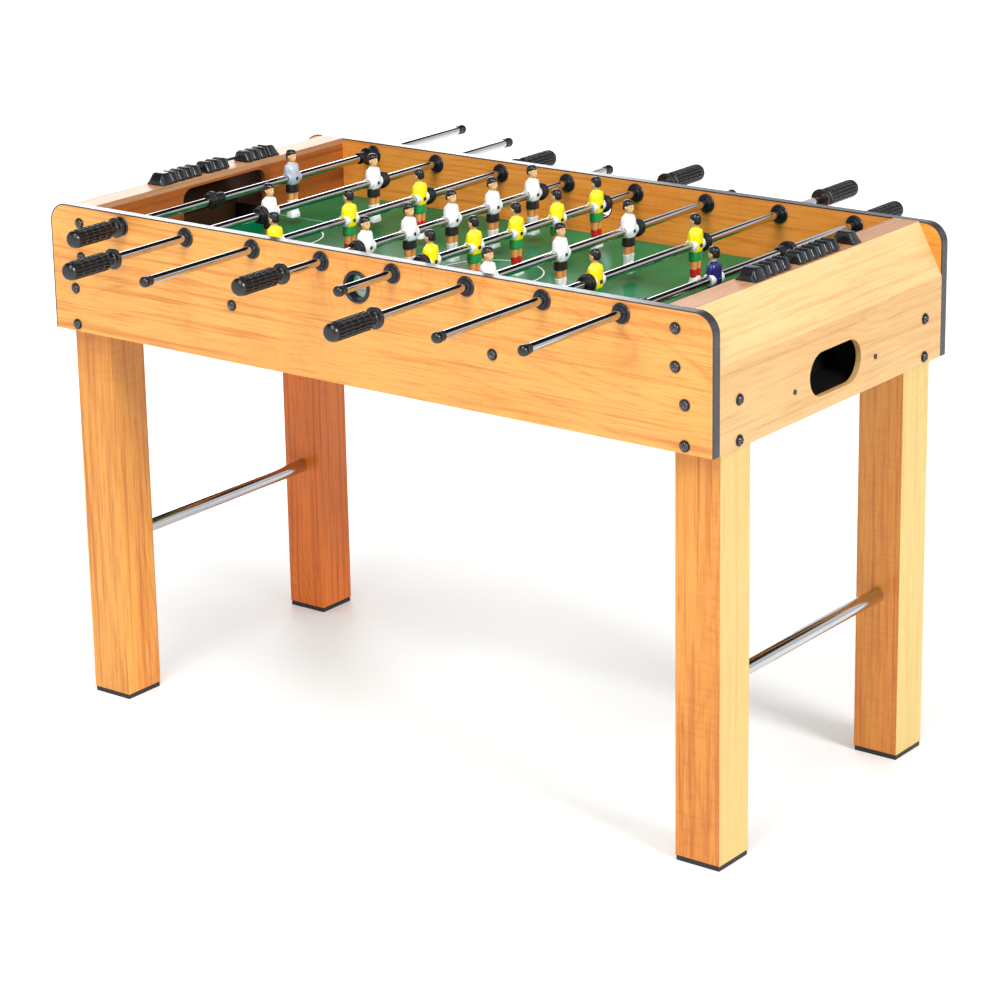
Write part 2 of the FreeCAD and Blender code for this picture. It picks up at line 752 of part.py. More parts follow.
def left_near_row(x, y_start):
    """The near row of the left scorer: two groups of beads with a small space between them."""
    second_start = y_start + left_first_beads * bead_pitch + left_near_split
    return bead_row(x, y_start, left_first_beads) + bead_row(x, second_start, left_second_beads)


def scorer_beads():
    """The four rows of beads, by name, as they stand on the two ledges."""
    near_end = -scorer_length / 2 + scorer_bracket_length + bead_end_gap
    far_end = scorer_length / 2 - scorer_bracket_length - bead_end_gap
    left_x, right_x = -upper_bolt_x, upper_bolt_x
    far_left = beads_per_scorer - left_first_beads - left_second_beads
    far_right = beads_per_scorer - right_near_beads
    right_far_start = near_end + right_near_beads * bead_pitch + right_near_gap
    return {
        "beads_left_near": left_near_row(left_x, near_end),
        "beads_left_far": bead_row(left_x, far_end - far_left * bead_pitch, far_left),
        "beads_right_near": bead_row(right_x, near_end, right_near_beads),
        "beads_right_far": bead_row(right_x, right_far_start, far_right),
    }


def main():
    """Builds every sub-part and writes its file."""
    os.makedirs("parts", exist_ok=True)
    panel, trim = back_panel(), back_trim()
    save("side_panel_back", [panel])
    save("side_panel_front", [mirror_y(panel)])
    save("edge_trims", [trim, mirror_y(trim)])
    end_panel = right_end_panel()
    save("end_panel_right", [end_panel])
    save("end_panel_left", [mirror_x(end_panel)])
    save("end_slopes", both_ends([right_slope()]))
    save("end_ledges", both_ends([right_ledge()]))
    save("goal_walls", both_ends([right_goal_wall()]))
    save("ball_trays", both_ends(right_ball_tray()))
    save("playfield", [playfield()])
    save("field_supports", field_supports())
    leg = back_right_leg()
    save("leg_back_right", [leg])
    save("leg_back_left", [mirror_x(leg)])
    save("leg_front_right", [mirror_y(leg)])
    save("leg_front_left", [mirror_x(mirror_y(leg))])
    save("foot_pads", all_corners(back_right_foot()))
    save("cross_tubes", both_ends([right_cross_tube()]))
    save("corner_blocks", [s for b in back_right_blocks() for s in all_corners(b)])
    save("cabinet_bolts", cabinet_bolts())
    save("tray_screws", both_ends(right_tray_screws()))
    bushings = [back_bushing(i) for i in range(rod_count)]
    nuts = [back_bushing_nut(i) for i in range(rod_count)]
    save("rod_bushings", bushings + [mirror_y(s) for s in bushings])
    save("bushing_nuts", nuts + [mirror_y(s) for s in nuts])
    ring = back_entry_ring()
    save("ball_entry_rings", [ring, mirror_y(ring)])
    save("scorer_frames", scorer_frame(-upper_bolt_x) + scorer_frame(upper_bolt_x))
    for name, row in scorer_beads().items():
        save(name, row)
    for i in range(rod_count):
        save("rod_%d_tube" % (i + 1), [rod_tube(i)])
        save("rod_%d_players" % (i + 1), players(i))
        save("rod_%d_grip_and_cap" % (i + 1), [grip(i), cap(i)])
        save("rod_%d_bumpers" % (i + 1), bumpers(i))
    for count in sorted(set(player_counts)):
        print("rod with %d players: travel +-%.1f mm" % (count, travel(count)))
    print("%d sub-parts" % len(made))


main()
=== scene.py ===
"""Foosball table: the finished look of the game table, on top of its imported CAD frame.

Metres throughout, unless a name or comment says millimetres. +X runs along the table, +Y across it to
the back, +Z up. The boards keep their CAD meshes and get laminate finishes; rods, grips, bumpers,
figures, bushings, bolts, cross tubes and scorers are worked out here from the frame's boxes.
"""
import bpy
import numpy as np
from mathutils import Matrix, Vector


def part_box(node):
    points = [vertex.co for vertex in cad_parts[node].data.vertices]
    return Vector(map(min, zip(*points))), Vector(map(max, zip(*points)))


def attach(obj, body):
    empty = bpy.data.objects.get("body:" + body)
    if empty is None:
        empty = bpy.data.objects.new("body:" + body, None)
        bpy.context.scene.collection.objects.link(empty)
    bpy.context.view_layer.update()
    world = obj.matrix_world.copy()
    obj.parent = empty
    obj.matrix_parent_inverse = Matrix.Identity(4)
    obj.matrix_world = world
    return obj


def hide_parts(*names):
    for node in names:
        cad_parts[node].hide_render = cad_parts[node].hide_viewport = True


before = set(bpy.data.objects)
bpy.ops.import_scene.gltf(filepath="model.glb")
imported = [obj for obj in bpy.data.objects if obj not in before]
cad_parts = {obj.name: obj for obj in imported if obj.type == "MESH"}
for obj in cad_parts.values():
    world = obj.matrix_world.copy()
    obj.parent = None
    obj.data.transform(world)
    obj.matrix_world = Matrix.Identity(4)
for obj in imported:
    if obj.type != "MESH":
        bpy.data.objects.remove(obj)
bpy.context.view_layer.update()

PI = np.pi
MM = 0.001

# ---------------------------------------------------------------- sizes read from the frame
ROD_COUNT = 8
field_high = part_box("playfield")[1]
panel_low, panel_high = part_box("side_panel_front")
trim_low, trim_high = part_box("edge_trims")
leg_low, leg_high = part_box("leg_front_right")
frames_low, frames_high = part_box("scorer_frames")
FIELD_Z = field_high[2]
TOP_Z = trim_high[2]
BOTTOM_Z = trim_low[2]
END_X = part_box("end_panel_right")[1][0]
SCORER_HALF_WIDTH = 18 * MM
LEDGE_X = frames_high[0] - SCORER_HALF_WIDTH
rod_boxes = [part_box("rod_%d_tube" % (i + 1)) for i in range(ROD_COUNT)]
ROD_X = [(low[0] + high[0]) / 2 for low, high in rod_boxes]
ROD_Z = (rod_boxes[0][0][2] + rod_boxes[0][1][2]) / 2
ROD_R = (rod_boxes[0][1][2] - rod_boxes[0][0][2]) / 2
# for each rod from the left: how many players, their kit, and which way along X they face
PLAYERS = [1, 2, 3, 5, 5, 3, 2, 1]
TEAM = ["keeper_light", "white", "yellow", "white", "yellow", "white", "yellow", "keeper_dark"]
FACING = [1, 1, -1, 1, -1, 1, -1, -1]


# ---------------------------------------------------------------- mesh building
class Build:
    """Collects grids of points into one mesh with several materials."""

    def __init__(self):
        self.points, self.quads, self.tris = [], [], []
        self.quad_mats, self.tri_mats, self.count = [], [], 0

    def shell(self, grid, mat=0, ring=False):
        """A closed surface from a (rows, columns, 3) grid whose columns go round. With ring the rows
        close on themselves too, as on a ring with a hole; without it each end row is closed by a fan
        to the row's own middle. The faces are turned to point outwards by the sign of the volume."""
        rows, cols = grid.shape[:2]
        index = np.arange(rows * cols).reshape(rows, cols)
        right = np.roll(index, -1, axis=1)
        if ring:
            below, below_right = np.roll(index, -1, axis=0), np.roll(right, -1, axis=0)
            quads = np.stack([index, right, below_right, below], axis=-1).reshape(-1, 4)
            points, tris = grid.reshape(-1, 3), np.zeros((0, 3), int)
        else:
            quads = np.stack([index[:-1], right[:-1], right[1:], index[1:]], axis=-1).reshape(-1, 4)
            ends = np.stack([grid[0].mean(axis=0), grid[-1].mean(axis=0)])
            points = np.vstack([grid.reshape(-1, 3), ends])
            a, b = rows * cols, rows * cols + 1
            first = np.stack([np.full(cols, a), right[0], index[0]], axis=-1)
            last = np.stack([np.full(cols, b), index[-1], right[-1]], axis=-1)
            tris = np.vstack([first, last])
        centre = points.mean(axis=0)
        p, t = points[quads] - centre, points[tris] - centre
        both_halves = np.cross(p[:, 1], p[:, 2]) + np.cross(p[:, 2], p[:, 3])
        volume = np.einsum("ij,ij->i", p[:, 0], both_halves).sum()
        if len(t):
            volume += np.einsum("ij,ij->i", t[:, 0], np.cross(t[:, 1], t[:, 2])).sum()
        if volume < 0:
            quads, tris = quads[:, ::-1], tris[:, ::-1]
        self.quads.append(quads + self.count)
        self.tris.append(tris + self.count)
        self.quad_mats.append(np.full(len(quads), mat))
        self.tri_mats.append(np.full(len(tris), mat))
        self.points.append(points)
        self.count += len(points)

    def object(self, name, materials, body, nodes=()):
        """Makes the mesh object, smooth shaded, riding on its body, in place of the given CAD nodes."""
        quads, tris = np.vstack(self.quads), np.vstack(self.tris)
        mesh = bpy.data.meshes.new(name)
        mesh.from_pydata(np.vstack(self.points).tolist(), [], quads.tolist() + tris.tolist())
        for m in materials:
            mesh.materials.append(m)
        mats = np.concatenate(self.quad_mats + self.tri_mats).astype(np.int32)
        mesh.polygons.foreach_set("material_index", mats)
        mesh.polygons.foreach_set("use_smooth", np.ones(len(mats), bool))
        mesh.update()
        obj = bpy.data.objects.new(name, mesh)
        bpy.context.scene.collection.objects.link(obj)
        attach(obj, body)
        if nodes:
            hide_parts(*nodes)


LONGEST_SHARE = 0.45


def rounded(profile, radius, steps=3, closed=False):
    """A profile whose corners are rounded: each corner becomes a quadratic curve between the points
    at the given distance along its two sides, (1-t)^2 a + 2t(1-t) corner + t^2 b. The distance is
    never more than the longest share of a side."""
    p = np.asarray(profile, float)
    before, after = np.roll(p, 1, axis=0), np.roll(p, -1, axis=0)
    la = np.linalg.norm(before - p, axis=1, keepdims=True)
    lb = np.linalg.norm(after - p, axis=1, keepdims=True)
    a = p + (before - p) / la * np.minimum(radius, la * LONGEST_SHARE)
    b = p + (after - p) / lb * np.minimum(radius, lb * LONGEST_SHARE)
    t = np.linspace(0, 1, steps + 1)[None, :, None]
    arcs = (1 - t) ** 2 * a[:, None] + 2 * t * (1 - t) * p[:, None] + t ** 2 * b[:, None]
    if not closed:
        arcs[0], arcs[-1] = p[0], p[-1]
    return arcs.reshape(-1, p.shape[1])


def turned(profile, x, y, z, way=1, columns=48, ripple=None):
    """A surface of revolution about a line along Y through (x, y, z). Profile rows are
    (radius, distance): the point is x + r cos u, y + way d, z + r sin u. Ripple, if given, is a
    function of (distance, angle) whose value is taken off the radius."""
    p = np.asarray(profile, float)
    u = np.linspace(0, 2 * PI, columns, endpoint=False)
    r, d = p[:, :1] + 0 * u, p[:, 1:] + 0 * u
    if ripple:
        r = r - ripple(d, u[None, :] + 0 * d)
    return np.stack([x + r * np.cos(u), y + way * d, z + r * np.sin(u)], axis=-1)


def superellipse(u, power):
    """Unit superellipse: |cos u|^(2/power) and |sin u|^(2/power), each with the sign of its cosine or
    sine. Power 2 is a circle, and a higher one is nearer to a square."""
    c, s = np.cos(u), np.sin(u)
    return np.sign(c) * np.abs(c) ** (2 / power), np.sign(s) * np.abs(s) ** (2 / power)


def stack(stations, x, y, z, facing=1, columns=28):
    """A body built of level sections. Each station is (height, half width, half depth, forward,
    sideways, power): a superellipse of those half sizes, its centre moved forward and sideways."""
    s = np.asarray(stations, float)
    u = np.linspace(0, 2 * PI, columns, endpoint=False)[None, :]
    cx, cy = superellipse(u, s[:, 5:6])
    px = x + facing * (s[:, 3:4] + s[:, 2:3] * cx)
    py = y + s[:, 4:5] + s[:, 1:2] * cy
    return np.stack([px, py, z + s[:, :1] + 0 * u], axis=-1)


def smooth_rows(rows, times):
    """The same column of stations with rows put between them along a Catmull-Rom curve: a cubic
    through b and c whose slopes there are half of c - a and half of d - b."""
    r = np.asarray(rows, float)
    p = np.vstack([2 * r[0] - r[1], r, 2 * r[-1] - r[-2]])
    t = np.linspace(0, 1, times, endpoint=False)[None, :, None]
    a, b, c, d = (p[i:len(p) - 3 + i][:, None] for i in range(4))
    curve = 0.5 * (2 * b + (c - a) * t + (2 * a - 5 * b + 4 * c - d) * t ** 2
                   + (3 * b - a - 3 * c + d) * t ** 3)
    return np.vstack([curve.reshape(-1, r.shape[1]), r[-1:]])


# ---------------------------------------------------------------- materials
class Finish:
    """A procedural material: nodes are added by name, and sockets by value or by link."""

    def __init__(self, name):
        self.material = bpy.data.materials.new(name)
        self.material.use_nodes = True
        self.tree = self.material.node_tree
        self.shader = self.tree.nodes["Principled BSDF"]
        self.place = self.add("ShaderNodeTexCoord").outputs["Object"]

    def add(self, kind, settings=None, **sockets):
        node = self.tree.nodes.new(kind)
        for key, value in (settings or {}).items():
            setattr(node, key, value)
        for key, value in sockets.items():
            self.put(node.inputs[key.replace("_", " ")], value)
        return node

    def put(self, socket, value):
        if isinstance(value, bpy.types.NodeSocket):
            self.tree.links.new(value, socket)
        else:
            socket.default_value = value

    def maths(self, operation, a, b=0.0):
        node = self.add("ShaderNodeMath", {"operation": operation})
        self.put(node.inputs[0], a)
        self.put(node.inputs[1], b)
        return node.outputs[0]

    def stretched(self, scale, shift=(0, 0, 0)):
        """Object coordinates scaled along each axis."""
        node = self.add("ShaderNodeMapping", Vector=self.place)
        node.inputs["Scale"].default_value = scale
        node.inputs["Location"].default_value = shift
        return node.outputs[0]

    def noise(self, place, scale=1.0, detail=4.0, rough=0.55, distort=0.0):
        return self.add("ShaderNodeTexNoise", Vector=place, Scale=scale, Detail=detail, Roughness=rough,
                        Distortion=distort).outputs["Fac"]

    def ramp(self, factor, *stops):
        """A colour ramp through (position, colour) stops."""
        node = self.add("ShaderNodeValToRGB", Fac=factor)
        ramp = node.color_ramp
        while len(ramp.elements) < len(stops):
            ramp.elements.new(0.5)
        for element, (where, colour) in zip(ramp.elements, stops):
            element.position = where
            element.color = (*colour, 1)
        return node.outputs["Color"]

    def mix(self, factor, a, b, blend="MIX"):
        node = self.add("ShaderNodeMix", {"data_type": "RGBA", "blend_type": blend})
        self.put(node.inputs[0], factor)
        self.put(node.inputs[6], a if isinstance(a, bpy.types.NodeSocket) else (*a, 1))
        self.put(node.inputs[7], b if isinstance(b, bpy.types.NodeSocket) else (*b, 1))
        return node.outputs[2]

    def bump(self, height, strength, distance):
        node = self.add("ShaderNodeBump", Height=height, Strength=strength, Distance=distance)
        self.put(self.shader.inputs["Normal"], node.outputs[0])

    def set(self, **sockets):
        for key, value in sockets.items():
            self.put(self.shader.inputs[key.replace("_", " ")], value)
        return self.material


# the first colour below is painted shade: the near-black brown of the end and sloping boards' inner faces,
# standing for the shade inside the table's ends
PAINTED_SHADE_INSIDE = (0.045, 0.020, 0.009)
# painted light: the tint that makes the legs' end faces paler and cooler, standing for the strong light on
# their lit side
PAINTED_LIGHT_END_TINT = (0.80, 1.34, 2.5)
GROWTH_LINES = 46.0


def wood_laminate(name, pale, mid, dark, grain, seed=0.0, rough=0.36, lines=1.0, cross=0.22,
                  painted_shade_inside=None, painted_light_ends=None):
    """Printed wood laminate. Fine fibres and streaks are noise stretched along the grain axis; growth
    lines are where a slowly bending distance across the grain passes whole numbers, kept to patches;
    cross figure is short faint marks over both, also in patches. On the inner side of the plane
    nx |x| + nz z = reach, given as painted_shade_inside, the board is painted a near-black brown: painted
    shade for the hollow inside the table's ends. Faces whose |x| is over painted_light_ends are printed paler
    and
    cooler: painted light standing for the strong light on the legs' lit side, put on both ends."""
    f = Finish(name)

    def scaled(lengthways, crossways):
        return tuple(lengthways if k == grain else crossways for k in range(3))

    def veil(value, low, high, strength):
        node = f.add("ShaderNodeMapRange", Value=value, From_Min=low, From_Max=high, To_Min=0.0,
                     To_Max=strength)
        return node.outputs[0]

    shift = (seed, seed * 0.7, seed * 1.3)
    bend = f.noise(f.stretched(scaled(0.8, 4.5), shift), detail=2, rough=0.5, distort=0.35)
    ring = f.maths("FRACT", f.maths("MULTIPLY", bend, GROWTH_LINES))
    ring = f.maths("ABSOLUTE", f.maths("SUBTRACT", f.maths("MULTIPLY", ring, 2.0), 1.0))
    ring = f.maths("POWER", ring, 5.0)
    patch = f.noise(f.stretched(scaled(1.6, 9.0), shift), detail=3, rough=0.6)
    ring = f.maths("MULTIPLY", ring, veil(patch, 0.46, 0.66, 0.48 * lines))
    streaks = f.noise(f.stretched(scaled(2.8, 135.0), shift), detail=6, rough=0.62, distort=0.1)
    fibres = f.noise(f.stretched(scaled(14.0, 380.0), shift), detail=4, rough=0.6)
    cloud = f.noise(f.stretched(scaled(1.6, 5.5), shift), detail=3)
    marks = f.noise(f.stretched(scaled(190.0, 26.0), shift), detail=2, rough=0.6)
    base = f.mix(veil(cloud, 0.38, 0.64, 0.85), pale, mid)
    base = f.mix(veil(streaks, 0.50, 0.66, 0.55 * lines), base, dark)
    base = f.mix(veil(fibres, 0.50, 0.74, 0.60 * lines), base, dark)
    base = f.mix(ring, base, dark)
    figure = f.maths("MULTIPLY", veil(marks, 0.50, 0.72, cross), veil(cloud, 0.42, 0.60, 1.0))
    base = f.mix(figure, base, dark)
    # painted shade: inside the given plane the laminate gives way to a near-black brown, standing for the
    # shade in the hollow inside the table's ends
    if painted_shade_inside:
        nx, nz, reach = painted_shade_inside
        split = f.add("ShaderNodeSeparateXYZ", Vector=f.place)
        outward = f.maths("MULTIPLY", f.maths("ABSOLUTE", split.outputs[0]), nx)
        depth = f.maths("ADD", outward, f.maths("MULTIPLY", split.outputs[2], nz))
        base = f.mix(f.maths("LESS_THAN", depth, reach), base, PAINTED_SHADE_INSIDE)
    # painted light: faces past the given |x| are printed paler and cooler, standing for the strong light on
    # the legs' lit side, on both ends
    if painted_light_ends:
        split = f.add("ShaderNodeSeparateXYZ", Vector=f.place)
        at_end = f.maths("GREATER_THAN", f.maths("ABSOLUTE", split.outputs[0]), painted_light_ends)
        painted_light_colour = f.mix(1.0, f.mix(0.6, base, pale), PAINTED_LIGHT_END_TINT, "MULTIPLY")
        base = f.mix(at_end, base, painted_light_colour)
    gloss = f.add("ShaderNodeMapRange", Value=streaks, To_Min=rough - 0.05, To_Max=rough + 0.09)
    f.bump(fibres, 0.10, 0.0002)
    return f.set(Base_Color=base, Roughness=gloss.outputs[0], Specular_IOR_Level=0.42)


def chrome(name, grain=1, tint=(0.62, 0.63, 0.65), rough=0.07):
    """Polished plating: bright metal with hair-fine drawn lines along the bar and faint handling haze."""
    f = Finish(name)
    scale = tuple(3.0 if k == grain else 900.0 for k in range(3))
    lines = f.noise(f.stretched(scale), detail=3, rough=0.6)
    haze = f.noise(f.place, scale=18.0, detail=4, rough=0.6)
    both = f.maths("ADD", f.maths("MULTIPLY", lines, 0.5), f.maths("MULTIPLY", haze, 0.5))
    gloss = f.add("ShaderNodeMapRange", Value=both, To_Min=rough - 0.04, To_Max=rough + 0.08)
    dull = tuple(c * 0.85 for c in tint)
    return f.set(Base_Color=f.mix(haze, tint, dull), Metallic=1.0, Roughness=gloss.outputs[0])


def moulded(name, colour, worn, rough=0.42, grain=900.0, dust=0.3, spec=0.5):
    """Moulded plastic or rubber: a fine even texture, slow tone changes and a little wear and dust."""
    f = Finish(name)
    fine = f.noise(f.place, scale=grain, detail=3, rough=0.6)
    slow = f.noise(f.place, scale=22.0, detail=4, rough=0.6)
    base = f.mix(f.ramp(slow, (0.45, (0, 0, 0)), (0.80, (dust, dust, dust))), colour, worn)
    base = f.mix(f.ramp(fine, (0.55, (0, 0, 0)), (0.85, (0.3, 0.3, 0.3))), base, worn)
    gloss = f.add("ShaderNodeMapRange", Value=slow, To_Min=rough - 0.07, To_Max=rough + 0.10)
    f.bump(fine, 0.12, 0.00012)
    return f.set(Base_Color=base, Roughness=gloss.outputs[0], Specular_IOR_Level=spec)


def painted_figure(name, colour, shade, rough=0.30):
    """Hand-sprayed figure paint: slightly uneven tone, soft moulded folds under it, a gloss that varies
    like orange peel, and a thin clear coat."""
    f = Finish(name)
    slow = f.noise(f.place, scale=120.0, detail=3, rough=0.6)
    peel = f.noise(f.place, scale=700.0, detail=2)
    folds = f.noise(f.stretched((190.0, 190.0, 110.0)), detail=1, distort=0.8)
    base = f.mix(f.ramp(slow, (0.40, (0, 0, 0)), (0.75, (0.6, 0.6, 0.6))), colour, shade)
    gloss = f.add("ShaderNodeMapRange", Value=peel, To_Min=rough - 0.06, To_Max=rough + 0.10)
    f.bump(folds, 0.45, 0.0012)
    return f.set(Base_Color=base, Roughness=gloss.outputs[0], Coat_Weight=0.2, Coat_Roughness=0.12)


def playing_green(name):
    """Printed and lacquered board: a mid green with mottled darker clouds and a fine paper grain."""
    f = Finish(name)
    cloud = f.noise(f.stretched((3.2, 3.2, 1.0)), detail=4, rough=0.55, distort=0.6)
    mottle = f.noise(f.place, scale=60.0, detail=5, rough=0.65)
    paper = f.noise(f.place, scale=1400.0, detail=2)
    base = f.ramp(cloud, (0.34, (0.001, 0.105, 0.036)), (0.55, (0.001, 0.155, 0.052)),
                  (0.74, (0.003, 0.205, 0.074)))
    base = f.mix(f.ramp(mottle, (0.45, (0, 0, 0)), (0.8, (0.25, 0.25, 0.25))), base, (0.002, 0.10, 0.034))
    gloss = f.add("ShaderNodeMapRange", Value=mottle, To_Min=0.16, To_Max=0.28)
    f.bump(paper, 0.05, 0.0001)
    return f.set(Base_Color=base, Roughness=gloss.outputs[0], Specular_IOR_Level=0.05)


# planes on which a board's finish changes: just inside the end boards' inner faces, just inside the
# sloping boards' inner faces (as nx, nz and reach), past which the boards carry painted shade, and
# just under the legs' end faces, past which the legs carry painted light
END_BOARD_INNER_X = END_X - 8.5 * MM
SLOPE_INNER_PLANE = (0.884, 0.468, 869.5 * MM)
LEG_END_X = leg_high[0] - 0.5 * MM

# laminates: pale, middle and dark tone, and the axis that the grain runs along
front_wood = wood_laminate("panel laminate", (0.86, 0.43, 0.105), (0.80, 0.33, 0.062),
                           (0.58, 0.13, 0.013), 0, cross=0.34)
# painted shade: a deeper, redder copy of the panel laminate for the back panel, whose inner face stands in
# shade beyond the field
shaded_back_wood = wood_laminate("back panel laminate with painted shade", (0.93, 0.37, 0.062), (0.88, 0.29, 0.040),
                          (0.58, 0.12, 0.016), 0, seed=2.0)
# the end boards' inner faces carry painted shade
end_wood = wood_laminate("end laminate", (0.64, 0.41, 0.17), (0.60, 0.34, 0.12), (0.46, 0.19, 0.05), 1,
                         seed=3.0, lines=0.8, cross=0.0, painted_shade_inside=(1, 0, END_BOARD_INNER_X))
# painted sheen: a paler copy of the end laminate, paler to stand in for the sheen on the sloping boards;
# their inner faces carry painted shade
sheen_slope_wood = wood_laminate("slope laminate with painted sheen", (0.68, 0.47, 0.22), (0.64, 0.40, 0.165), (0.5, 0.24, 0.07), 1,
                           seed=4.0, lines=0.8, cross=0.0, painted_shade_inside=SLOPE_INNER_PLANE)
ledge_wood = wood_laminate("ledge laminate", (0.50, 0.27, 0.14), (0.43, 0.20, 0.09), (0.28, 0.10, 0.045), 1,
                           seed=5.0)
goal_wood = wood_laminate("goal laminate", (0.40, 0.11, 0.02), (0.32, 0.08, 0.014), (0.16, 0.035, 0.008), 1,
                          seed=8.0)
# the leg laminates print the legs' end faces paler: painted light for their lit side
leg_wood = wood_laminate("leg laminate", (0.80, 0.36, 0.066), (0.75, 0.28, 0.044), (0.48, 0.09, 0.010), 2,
                         seed=11.0, lines=1.1, cross=0.24, painted_light_ends=LEG_END_X)
# painted shade: a redder, deeper copy of the leg laminate, given to the back-left leg that stands in the
# shade under the table
shaded_leg_wood = wood_laminate("shaded leg laminate", (0.92, 0.23, 0.016), (0.82, 0.17, 0.010),
                              (0.50, 0.07, 0.005), 2, seed=17.0, lines=1.1, cross=0.24,
                              painted_light_ends=LEG_END_X)
inner_wood = wood_laminate("raw batten wood", (0.60, 0.42, 0.24), (0.52, 0.34, 0.18), (0.34, 0.2, 0.1), 0,
                           seed=14.0, rough=0.6)

# plastics, rubber and plating
# painted shade: the ball trays are made near black so that the hollow of the ball return reads dark
shaded_tray_black = moulded("tray black with painted shade", (0.006, 0.006, 0.006), (0.02, 0.02, 0.02), rough=0.6, grain=300.0,
                     spec=0.2)
band = moulded("edge band", (0.030, 0.030, 0.036), (0.075, 0.075, 0.085), rough=0.24, grain=500.0)
green = playing_green("playing green")
paint_line = painted_figure("field line print", (0.85, 0.88, 0.86), (0.70, 0.75, 0.72), rough=0.4)
plated = chrome("plated rod", grain=1)
plated_tube = chrome("plated cross tube", grain=1, rough=0.13)
washer_steel = moulded("blackened washer steel", (0.010, 0.010, 0.012), (0.05, 0.05, 0.055), rough=0.34,
                       grain=1500.0)
bolt_steel = chrome("dark bolt steel", grain=0, tint=(0.10, 0.10, 0.11), rough=0.24)
rubber = moulded("bumper rubber", (0.007, 0.007, 0.008), (0.028, 0.028, 0.030), rough=0.40, grain=1200.0,
                 spec=0.4)
grip_rubber = moulded("grip plastic", (0.005, 0.005, 0.006), (0.018, 0.018, 0.020), rough=0.27,
                      grain=1600.0, spec=0.6)
bushing_black = moulded("bushing plastic", (0.009, 0.011, 0.016), (0.032, 0.037, 0.052), rough=0.30,
                        grain=1500.0, spec=0.45)
scorer_black = moulded("scorer plastic", (0.008, 0.009, 0.011), (0.035, 0.038, 0.045), rough=0.22,
                       grain=1500.0)
foot_rubber = moulded("foot pad rubber", (0.010, 0.010, 0.010), (0.04, 0.04, 0.04), rough=0.55, grain=600.0)

# paints of the figures
skin = painted_figure("skin paint", (0.86, 0.52, 0.26), (0.80, 0.42, 0.17))
thigh = painted_figure("leg paint", (0.80, 0.34, 0.10), (0.72, 0.27, 0.07))
hair = painted_figure("hair paint", (0.010, 0.010, 0.012), (0.03, 0.03, 0.035), rough=0.25)
white = painted_figure("white kit paint", (0.84, 0.84, 0.85), (0.76, 0.77, 0.80))
grey = painted_figure("light keeper kit paint", (0.42, 0.46, 0.54), (0.34, 0.38, 0.46))
black = painted_figure("black shorts paint", (0.010, 0.010, 0.012), (0.03, 0.03, 0.035))
yellow = painted_figure("yellow kit paint", (0.92, 0.80, 0.008), (0.86, 0.70, 0.006))
short_green = painted_figure("green shorts paint", (0.010, 0.28, 0.065), (0.007, 0.21, 0.05))
red = painted_figure("red sock paint", (0.55, 0.016, 0.014), (0.42, 0.010, 0.010))
blue = painted_figure("dark keeper kit paint", (0.012, 0.016, 0.14), (0.008, 0.010, 0.09))
lips = painted_figure("lip paint", (0.45, 0.12, 0.08), (0.38, 0.09, 0.06))
screw_black = moulded("clamp screw black", (0.012, 0.012, 0.012), (0.05, 0.05, 0.05), rough=0.3)


def dress(node, material):
    """Gives a CAD node its finish."""
    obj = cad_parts[node]
    obj.data.materials.clear()
    obj.data.materials.append(material)


for node, material in (
    ("side_panel_front", front_wood), ("side_panel_back", shaded_back_wood), ("edge_trims", band),
    ("end_panel_left", end_wood), ("end_panel_right", end_wood), ("end_slopes", sheen_slope_wood),
    ("end_ledges", ledge_wood), ("goal_walls", goal_wood), ("ball_trays", shaded_tray_black),
    ("playfield", green), ("field_supports", inner_wood), ("leg_front_left", leg_wood),
    ("leg_front_right", leg_wood), ("leg_back_left", shaded_leg_wood), ("leg_back_right", leg_wood),
    ("foot_pads", foot_rubber), ("corner_blocks", inner_wood), ("tray_screws", washer_steel),
):
    dress(node, material)


# ---------------------------------------------------------------- rods
def rod_piece(i):
    """The plated tube as a thin-walled bar with softened ends."""
    low, high = rod_boxes[i]
    length, wall = high[1] - low[1], 1.2 * MM
    profile = [(ROD_R - wall, 0), (ROD_R, 0), (ROD_R, length), (ROD_R - wall, length)]
    b = Build()
    b.shell(turned(rounded(profile, 0.4 * MM, 3, True), ROD_X[i], low[1], ROD_Z), ring=True)
    b.object("rod_%d_plated" % (i + 1), [plated], "rod_%d_spin" % (i + 1),
             ["rod_%d_tube" % (i + 1)])


GRIP_LENGTH = 98 * MM
CAP_LENGTH = 18 * MM
BUMPER_LENGTH = 12.7 * MM
TIP_R = 0.3 * MM


def ribs_and_rings(d, u):
    """How far a grip's surface is sunk: 16 grooves lengthways, and rings that part the barrel in 5.
    Each is a smooth hump exp(-(distance/width)^4) from its own line; outside the barrel the grooves
    fade out as 1 / (1 + exp(distance/fade))."""
    grooves, groove_depth, groove_width = 16, 2.8 * MM, 0.25
    fields, ring_depth, ring_width = 5, 2.0 * MM, 0.9 * MM
    first, last, fade, margin = 19.4 * MM, 89 * MM, 0.3 * MM, 2 * MM
    turn = (u * grooves / (2 * PI) + 0.5) % 1.0 - 0.5
    slots = groove_depth * np.exp(-(turn / groove_width) ** 4)
    inside = 1 / (1 + np.exp(-(d - first) / fade)) / (1 + np.exp((d - last) / fade))
    pitch = (last - first) / fields
    off = (d - first + pitch / 2) % pitch - pitch / 2
    rings = ring_depth * np.exp(-(off / ring_width) ** 4) * ((d > first - margin) & (d < last + margin))
    return np.maximum(slots * inside, rings)


